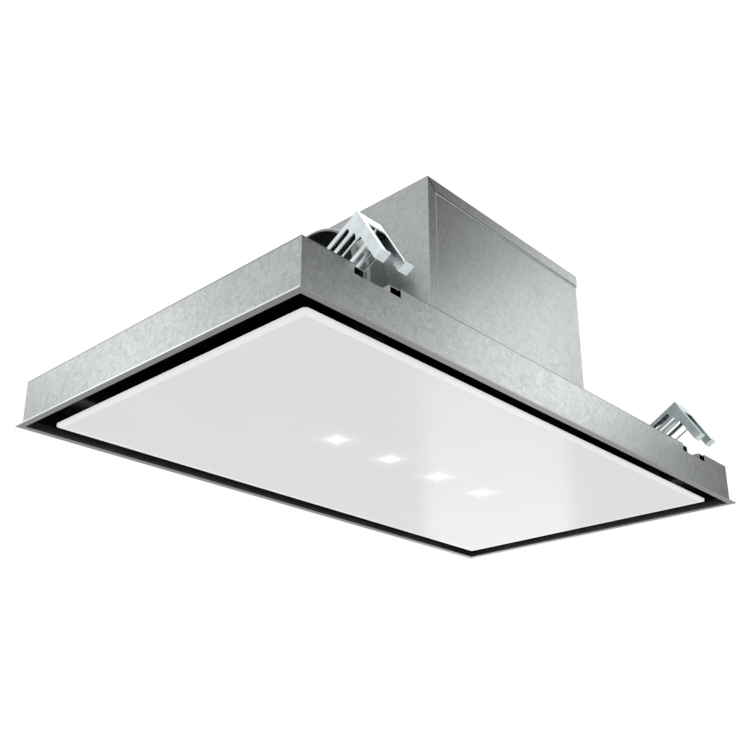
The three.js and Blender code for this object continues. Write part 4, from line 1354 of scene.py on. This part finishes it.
@dataclass
class Electrics:
    """The control box and the lamps' driver."""

    shop: Workshop
    lid_height: float = 12.0
    lid_overlap: float = 1.5
    terminal_inset: float = 8.0
    case_ribs: int = 5
    rib_half: float = 0.9
    lid_screw: float = 4.6
    foot_length: float = 9.0
    foot_height: float = 2.0
    can_inset: float = 8.0
    can_ribs: int = 9
    foot_screw: float = 4.0

    def build(self) -> None:
        """Dress both boxes."""
        self.control_box()
        self.driver()

    def control_box(self) -> None:
        """Make the control box: a ribbed case, its lid, lid screws and a terminal cover."""
        low, high = self.shop.limits("control_box")
        seam, inset, edge = high.z - self.lid_height, self.lid_overlap, self.terminal_inset
        form = Form()
        form.block((low.x + inset, low.y + inset, low.z), (high.x - inset, high.y - inset, seam), 1.2)
        form.block((low.x, low.y, seam), (high.x, high.y, high.z - 0.6), 1.6)
        form.block((low.x + edge, low.y + edge, high.z - 1.4), (high.x - edge, high.y - edge, high.z), 0.5)
        for y in spaced(low.y, high.y, 14.0, self.case_ribs):
            for start, end in both_ends(low.x + 0.6, high.x - 0.6, 1.6):
                form.block((start, y - self.rib_half, low.z + 6.0), (end, y + self.rib_half, seam - 4.0), 0.3)
        self.shop.fit(form.piece("control_box_case", 40.0), GREY_PLASTIC, "chassis", "control_box")
        heads = Form()
        for x in (low.x + self.lid_screw, high.x - self.lid_screw):
            for y in (low.y + self.lid_screw, high.y - self.lid_screw):
                heads.screw((x, y, high.z - 0.8), radius=2.4, height=0.8)
        self.shop.fit(heads.piece("control_box_screws"), ZINC, "chassis")

    def driver(self) -> None:
        """Make the driver: a ribbed can on two feet."""
        low, high = self.shop.limits("led_driver")
        inset, foot = self.can_inset, low.z + self.foot_height
        form = Form().block((low.x + inset, low.y, low.z), (high.x - inset, high.y, high.z - 0.5), 1.4)
        for start, end in both_ends(low.x, high.x, self.foot_length):
            form.block((start, low.y + inset, low.z), (end, high.y - inset, foot), 0.4)
        for x in spaced(low.x, high.x, 18.0, self.can_ribs):
            form.block((x - 1.0, low.y + 3.0, high.z - 1.0), (x + 1.0, high.y - 3.0, high.z), 0.3)
        self.shop.fit(form.piece("led_driver_case", 40.0), GREY_PLASTIC, "chassis", "led_driver")
        heads = Form()
        for x in (low.x + self.foot_screw, high.x - self.foot_screw):
            heads.screw((x, (low.y + high.y) / 2.0, foot), radius=2.8, height=1.5)
        self.shop.fit(heads.piece("led_driver_screws"), ZINC, "chassis")


@dataclass
class CoverPanel:
    """The hinged glass panel, its tray, lamps, hinges and magnets."""

    shop: Workshop
    lamps: int = 4
    pin_radius: float = 2.5
    pin_head: float = 4.0
    pole_width: float = 1.6
    pole_height: float = 2.0
    case_lift: float = 0.5

    def build(self) -> None:
        """Dress the panel and what hangs it."""
        self.shop.refine("glass_panel", GLASS, 0.25, "plate", 1.0)
        self.shop.refine("panel_tray", GALVANISED, 0.3)
        for number in range(1, self.lamps + 1):
            self.shop.refine(f"led_lens_{number}", LENS, 0.3, "moulding")
        for side in ("left", "right"):
            self.shop.refine(f"hinge_bracket_{side}", ZINC, 0.3)
            self.pin(f"hinge_pin_{side}")
            self.magnet(f"panel_magnet_{side}")

    def pin(self, node: str) -> None:
        """Make a hinge pin with a domed head and a riveted end.

        Args:
            node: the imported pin.
        """
        low, high, centre = self.shop.turning(node, Axis.X)
        start, end, shank, head = low.x, high.x, self.pin_radius, self.pin_head
        profile = [(0.0, start), (head - 1.0, start), (head, start + 0.6), (head, start + 1.5)]
        profile += [(shank, start + 1.5), (shank, end - 1.0), (shank + 1.0, end - 1.0)]
        profile += [(shank + 0.7, end - 0.3), (shank - 0.3, end), (0.0, end)]
        form = Form().turned(profile, Axis.X, centre, 40)
        self.shop.fit(form.piece(f"{node}_turned", 40.0), ZINC, "chassis", node)

    def magnet(self, node: str) -> None:
        """Make a magnet catch: a plastic case with two steel pole strips.

        Args:
            node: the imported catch.
        """
        low, high = self.shop.limits(node)
        form = Form().block((low.x, low.y, low.z + self.case_lift), tuple(high), 0.8)
        self.shop.fit(form.piece(f"{node}_case"), BLACK_PLASTIC, "chassis", node)
        poles = Form()
        for start, end in both_ends(low.y + 3.4, high.y - 3.4, self.pole_width):
            poles.block((low.x + 4.0, start, low.z), (high.x - 4.0, end, low.z + self.pole_height), 0.2)
        self.shop.fit(poles.piece(f"{node}_poles"), ZINC, "chassis")


@dataclass
class GreaseFilters:
    """The two filter cassettes with their layers of expanded metal."""

    shop: Workshop
    pitch_x: float = 11.0
    pitch_y: float = 6.6
    strand_width: float = 1.3
    strand_thickness: float = 0.6
    edge: float = 1.2
    inset: float = 0.7

    def build(self) -> None:
        """Dress both cassettes."""
        for side in ("left", "right"):
            self.shop.refine(f"filter_frame_{side}", ALUMINIUM, 0.3)
            self.mesh(f"filter_mesh_{side}")

    def mesh(self, node: str) -> None:
        """Weave two layers of expanded metal inside a thin edge.

        Args:
            node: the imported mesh.
        """
        low, high = self.shop.limits(node)
        form = Form()
        for layer, height in enumerate((low.z + self.inset, high.z - self.inset)):
            self.layer(form, low, high, height, layer * self.pitch_x / 3.0)
        for start, end in both_ends(low.y, high.y, self.edge):
            form.block((low.x, start, low.z), (high.x, end, high.z), 0.2)
        for start, end in both_ends(low.x, high.x, self.edge):
            form.block((start, low.y + self.edge, low.z), (end, high.y - self.edge, high.z), 0.2)
        self.shop.fit(form.piece(f"{node}_woven", 60.0), ALUMINIUM, self.shop.body(node), node)

    def layer(self, form: Form, low: Vector, high: Vector, height: float, shift: float) -> None:
        """Add one layer of zigzag strands that touch at their corners.

        Args:
            form: the form that it is added to.
            low: the mesh's lowest corner.
            high: the mesh's highest corner.
            height: the layer's height.
            shift: how far its pattern is moved along X.
        """
        rows = int((high.y - low.y - 2.0) / (self.pitch_y / 2.0)) - 1
        columns = int((high.x - low.x - 2.0) / (self.pitch_x / 2.0))
        reach = (self.pitch_y / 2.0 - self.strand_width) / 2.0 + self.strand_width * 0.35
        end, side = high.x - 0.8, high.y - 0.8
        for row in range(rows):
            y = low.y + 2.6 + (row + 0.5) * self.pitch_y / 2.0
            points = []
            for column in range(columns + 1):
                x = min(low.x + 1.0 + column * self.pitch_x / 2.0 + shift, end)
                rise = reach if (column + row) % 2 else -reach
                points.append(Vector((x, min(y + rise, side), height)))
                if x >= end:
                    break
            form.strip(points, self.strand_width, self.strand_thickness)


# ---------------------------------------------------------------- studio


def flat_square(
    title: str, half_size: float, steps: int, placed: Matrix, paint: bpy.types.Material
) -> bpy.types.Object:
    """Make a flat square of the studio.

    Args:
        title: its name.
        half_size: half its side, in metres.
        steps: how many faces it has along a side.
        placed: its place and turn.
        paint: its material.

    Returns:
        The object.
    """
    form = bmesh.new()
    bmesh.ops.create_grid(form, x_segments=steps, y_segments=steps, size=half_size, matrix=placed)
    square = shown(title, baked(title, form), 30.0)
    square.data.materials.append(paint)
    return square


@dataclass(frozen=True)
class SoftLamp:
    """A softbox: a rectangle of light with an aim."""

    title: str
    place: Point
    aim: Point
    width: float
    height: float
    watts: float

    def build(self) -> None:
        """Hang the lamp and turn it to its aim, out of the camera's sight."""
        light = bpy.data.lights.new(self.title, "AREA")
        light.shape = "RECTANGLE"
        light.size = self.width
        light.size_y = self.height
        light.energy = self.watts
        lamp = bpy.data.objects.new(self.title, light)
        lamp.location = self.place
        lamp.rotation_euler = (Vector(self.aim) - Vector(self.place)).to_track_quat("-Z", "Y").to_euler()
        lamp.visible_camera = False
        bpy.context.scene.collection.objects.link(lamp)


@dataclass(frozen=True)
class DarkCard:
    """A dark card that only reflections see, so that the sheets' corners stand out."""

    title: str
    place: Point
    aim: Point
    half_size: float
    tone: float

    def build(self) -> None:
        """Hang the card and turn it to its aim."""
        place = Vector(self.place)
        turned = (Vector(self.aim) - place).to_track_quat("-Z", "Y").to_matrix().to_4x4()
        card = flat_square(self.title, self.half_size, 1, Matrix.Translation(place) @ turned, self.paint())
        card.visible_camera = False
        card.visible_diffuse = False
        card.visible_shadow = False
        card.visible_transmission = False

    def paint(self) -> bpy.types.Material:
        """Make the card's dull, slightly cloudy paint.

        Returns:
            The material.
        """
        graph = ShaderGraph(f"{self.title}_paint")
        grey = (self.tone, self.tone, self.tone)
        graph.feed("Base Color", graph.tones(graph.noise(5.0), grey, (0.0, 0.8), (1.0, 1.2)))
        graph.fix({"Roughness": 1.0, "Specular IOR Level": 0.0})
        return graph.material


@dataclass(frozen=True)
class Viewpoint:
    """The photograph's camera: below and in front of the near left corner, and shifted upwards."""

    place: Point = (-0.9876, -0.8321, -0.4444)
    heading: float = 43.087
    climb: float = 20.103
    focal_pixels: float = 1006.5
    image_pixels: float = 750.0
    sensor: float = 36.0
    shift: Pair = (0.0132, 0.10)

    def build(self) -> None:
        """Make the camera and let the scene use it."""
        lens = bpy.data.cameras.new("viewpoint")
        lens.sensor_width = self.sensor
        lens.lens = self.focal_pixels / self.image_pixels * self.sensor
        lens.shift_x, lens.shift_y = self.shift
        lens.clip_start = 0.01
        camera = bpy.data.objects.new("viewpoint", lens)
        climb = math.radians(self.climb)
        level = polar(math.cos(climb), math.radians(self.heading))
        camera.location = self.place
        camera.rotation_euler = Vector((*level, math.sin(climb))).to_track_quat("-Z", "Y").to_euler()
        bpy.context.scene.collection.objects.link(camera)
        bpy.context.scene.camera = camera


@dataclass(frozen=True)
class Studio:
    """A white room with a pale floor well below the hood, soft lamps and dark cards."""

    floor_level: float = -1.1
    floor_size: float = 240.0
    ambient: float = 0.72
    lamps: tuple[SoftLamp, ...] = (
        SoftLamp("right_softbox", (1.42, -1.13, 0.85), (0.0, -0.22, 0.1), 0.46, 0.56, 1.05),
        SoftLamp("left_softbox", (-1.46, 1.6, 0.92), (-0.44, 0.0, 0.05), 0.45, 0.45, 0.8),
        SoftLamp("top_softbox", (0.3, 0.2, 2.2), (0.0, 0.0, 0.2), 1.8, 1.8, 9.0),
        SoftLamp("low_softbox", (1.59, 0.99, -0.63), (-0.988, -0.832, -0.63), 0.47, 0.9, 0.77),
    )
    cards: tuple[DarkCard, ...] = (
        DarkCard("left_card", (0.76, -1.42, 1.61), (-0.2, -0.2, 0.1), 0.63, 0.02),
        DarkCard("right_card", (2.25, -0.76, 0.58), (0.44, -0.244, 0.03), 0.42, 0.08),
    )

    def build(self) -> None:
        """Lay the floor, light the room and hang the lamps."""
        self.floor()
        self.world()
        for stand in (*self.lamps, *self.cards):
            stand.build()
        bpy.context.scene.view_settings.view_transform = "Standard"

    def floor(self) -> None:
        """Lay a plain pale floor that keeps the hood's soft shadow."""
        graph = ShaderGraph("floor_paint")
        graph.feed("Base Color", graph.tones(graph.noise(3.0, 2.0), WHITE, (0.3, 0.9), (0.7, 0.92)))
        graph.fix({"Roughness": 0.9, "Specular IOR Level": 0.1})
        graph.fix({"Emission Color": (*WHITE, 1.0), "Emission Strength": 0.17})
        placed = Matrix.Translation((0.0, 0.0, self.floor_level))
        floor = flat_square("studio_floor", self.floor_size / 2.0, 4, placed, graph.material)

    def world(self) -> None:
        """Make the room white to the camera, in reflections and through glass, and softer as a light."""
        world = bpy.data.worlds.new("white_room")
        world.use_nodes = True
        tree = world.node_tree
        tree.nodes.clear()
        path = add_node(tree, "LightPath", {})
        seen = path.outputs["Is Camera Ray"]
        for name in ("Is Glossy Ray", "Is Transmission Ray"):
            wider = add_node(tree, "Math", {0: seen, 1: path.outputs[name]})
            wider.operation = "MAXIMUM"
            seen = wider.outputs["Value"]
        mix = add_node(tree, "MixShader", {"Fac": seen})
        for index, strength in enumerate((self.ambient, 1.0), start=1):
            light = add_node(tree, "Background", {"Color": (*WHITE, 1.0), "Strength": strength})
            tree.links.new(light.outputs["Background"], mix.inputs[index])
        add_node(tree, "OutputWorld", {"Surface": mix.outputs["Shader"]})
        bpy.context.scene.world = world


def corners(box: tuple) -> list[list[float]]:
    """Turn a box's two corners into plain lists of numbers."""
    return [[float(value) for value in corner] for corner in box]


def main() -> None:
    """Build the studio and every sub-assembly."""
    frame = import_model()
    Viewpoint().build()
    Studio().build()
    shop = Workshop(frame)
    for part in (
        RecessFrame(shop),
        CeilingClamps(shop),
        MotorBox(shop),
        DuctOutlet(shop),
        Blower(shop),
        Electrics(shop),
        CoverPanel(shop),
        GreaseFilters(shop),
    ):
        part.build()
        LOG.info("built %s", type(part).__name__)


if __name__ == "__main__":
    logging.basicConfig(level=logging.INFO)
    main()
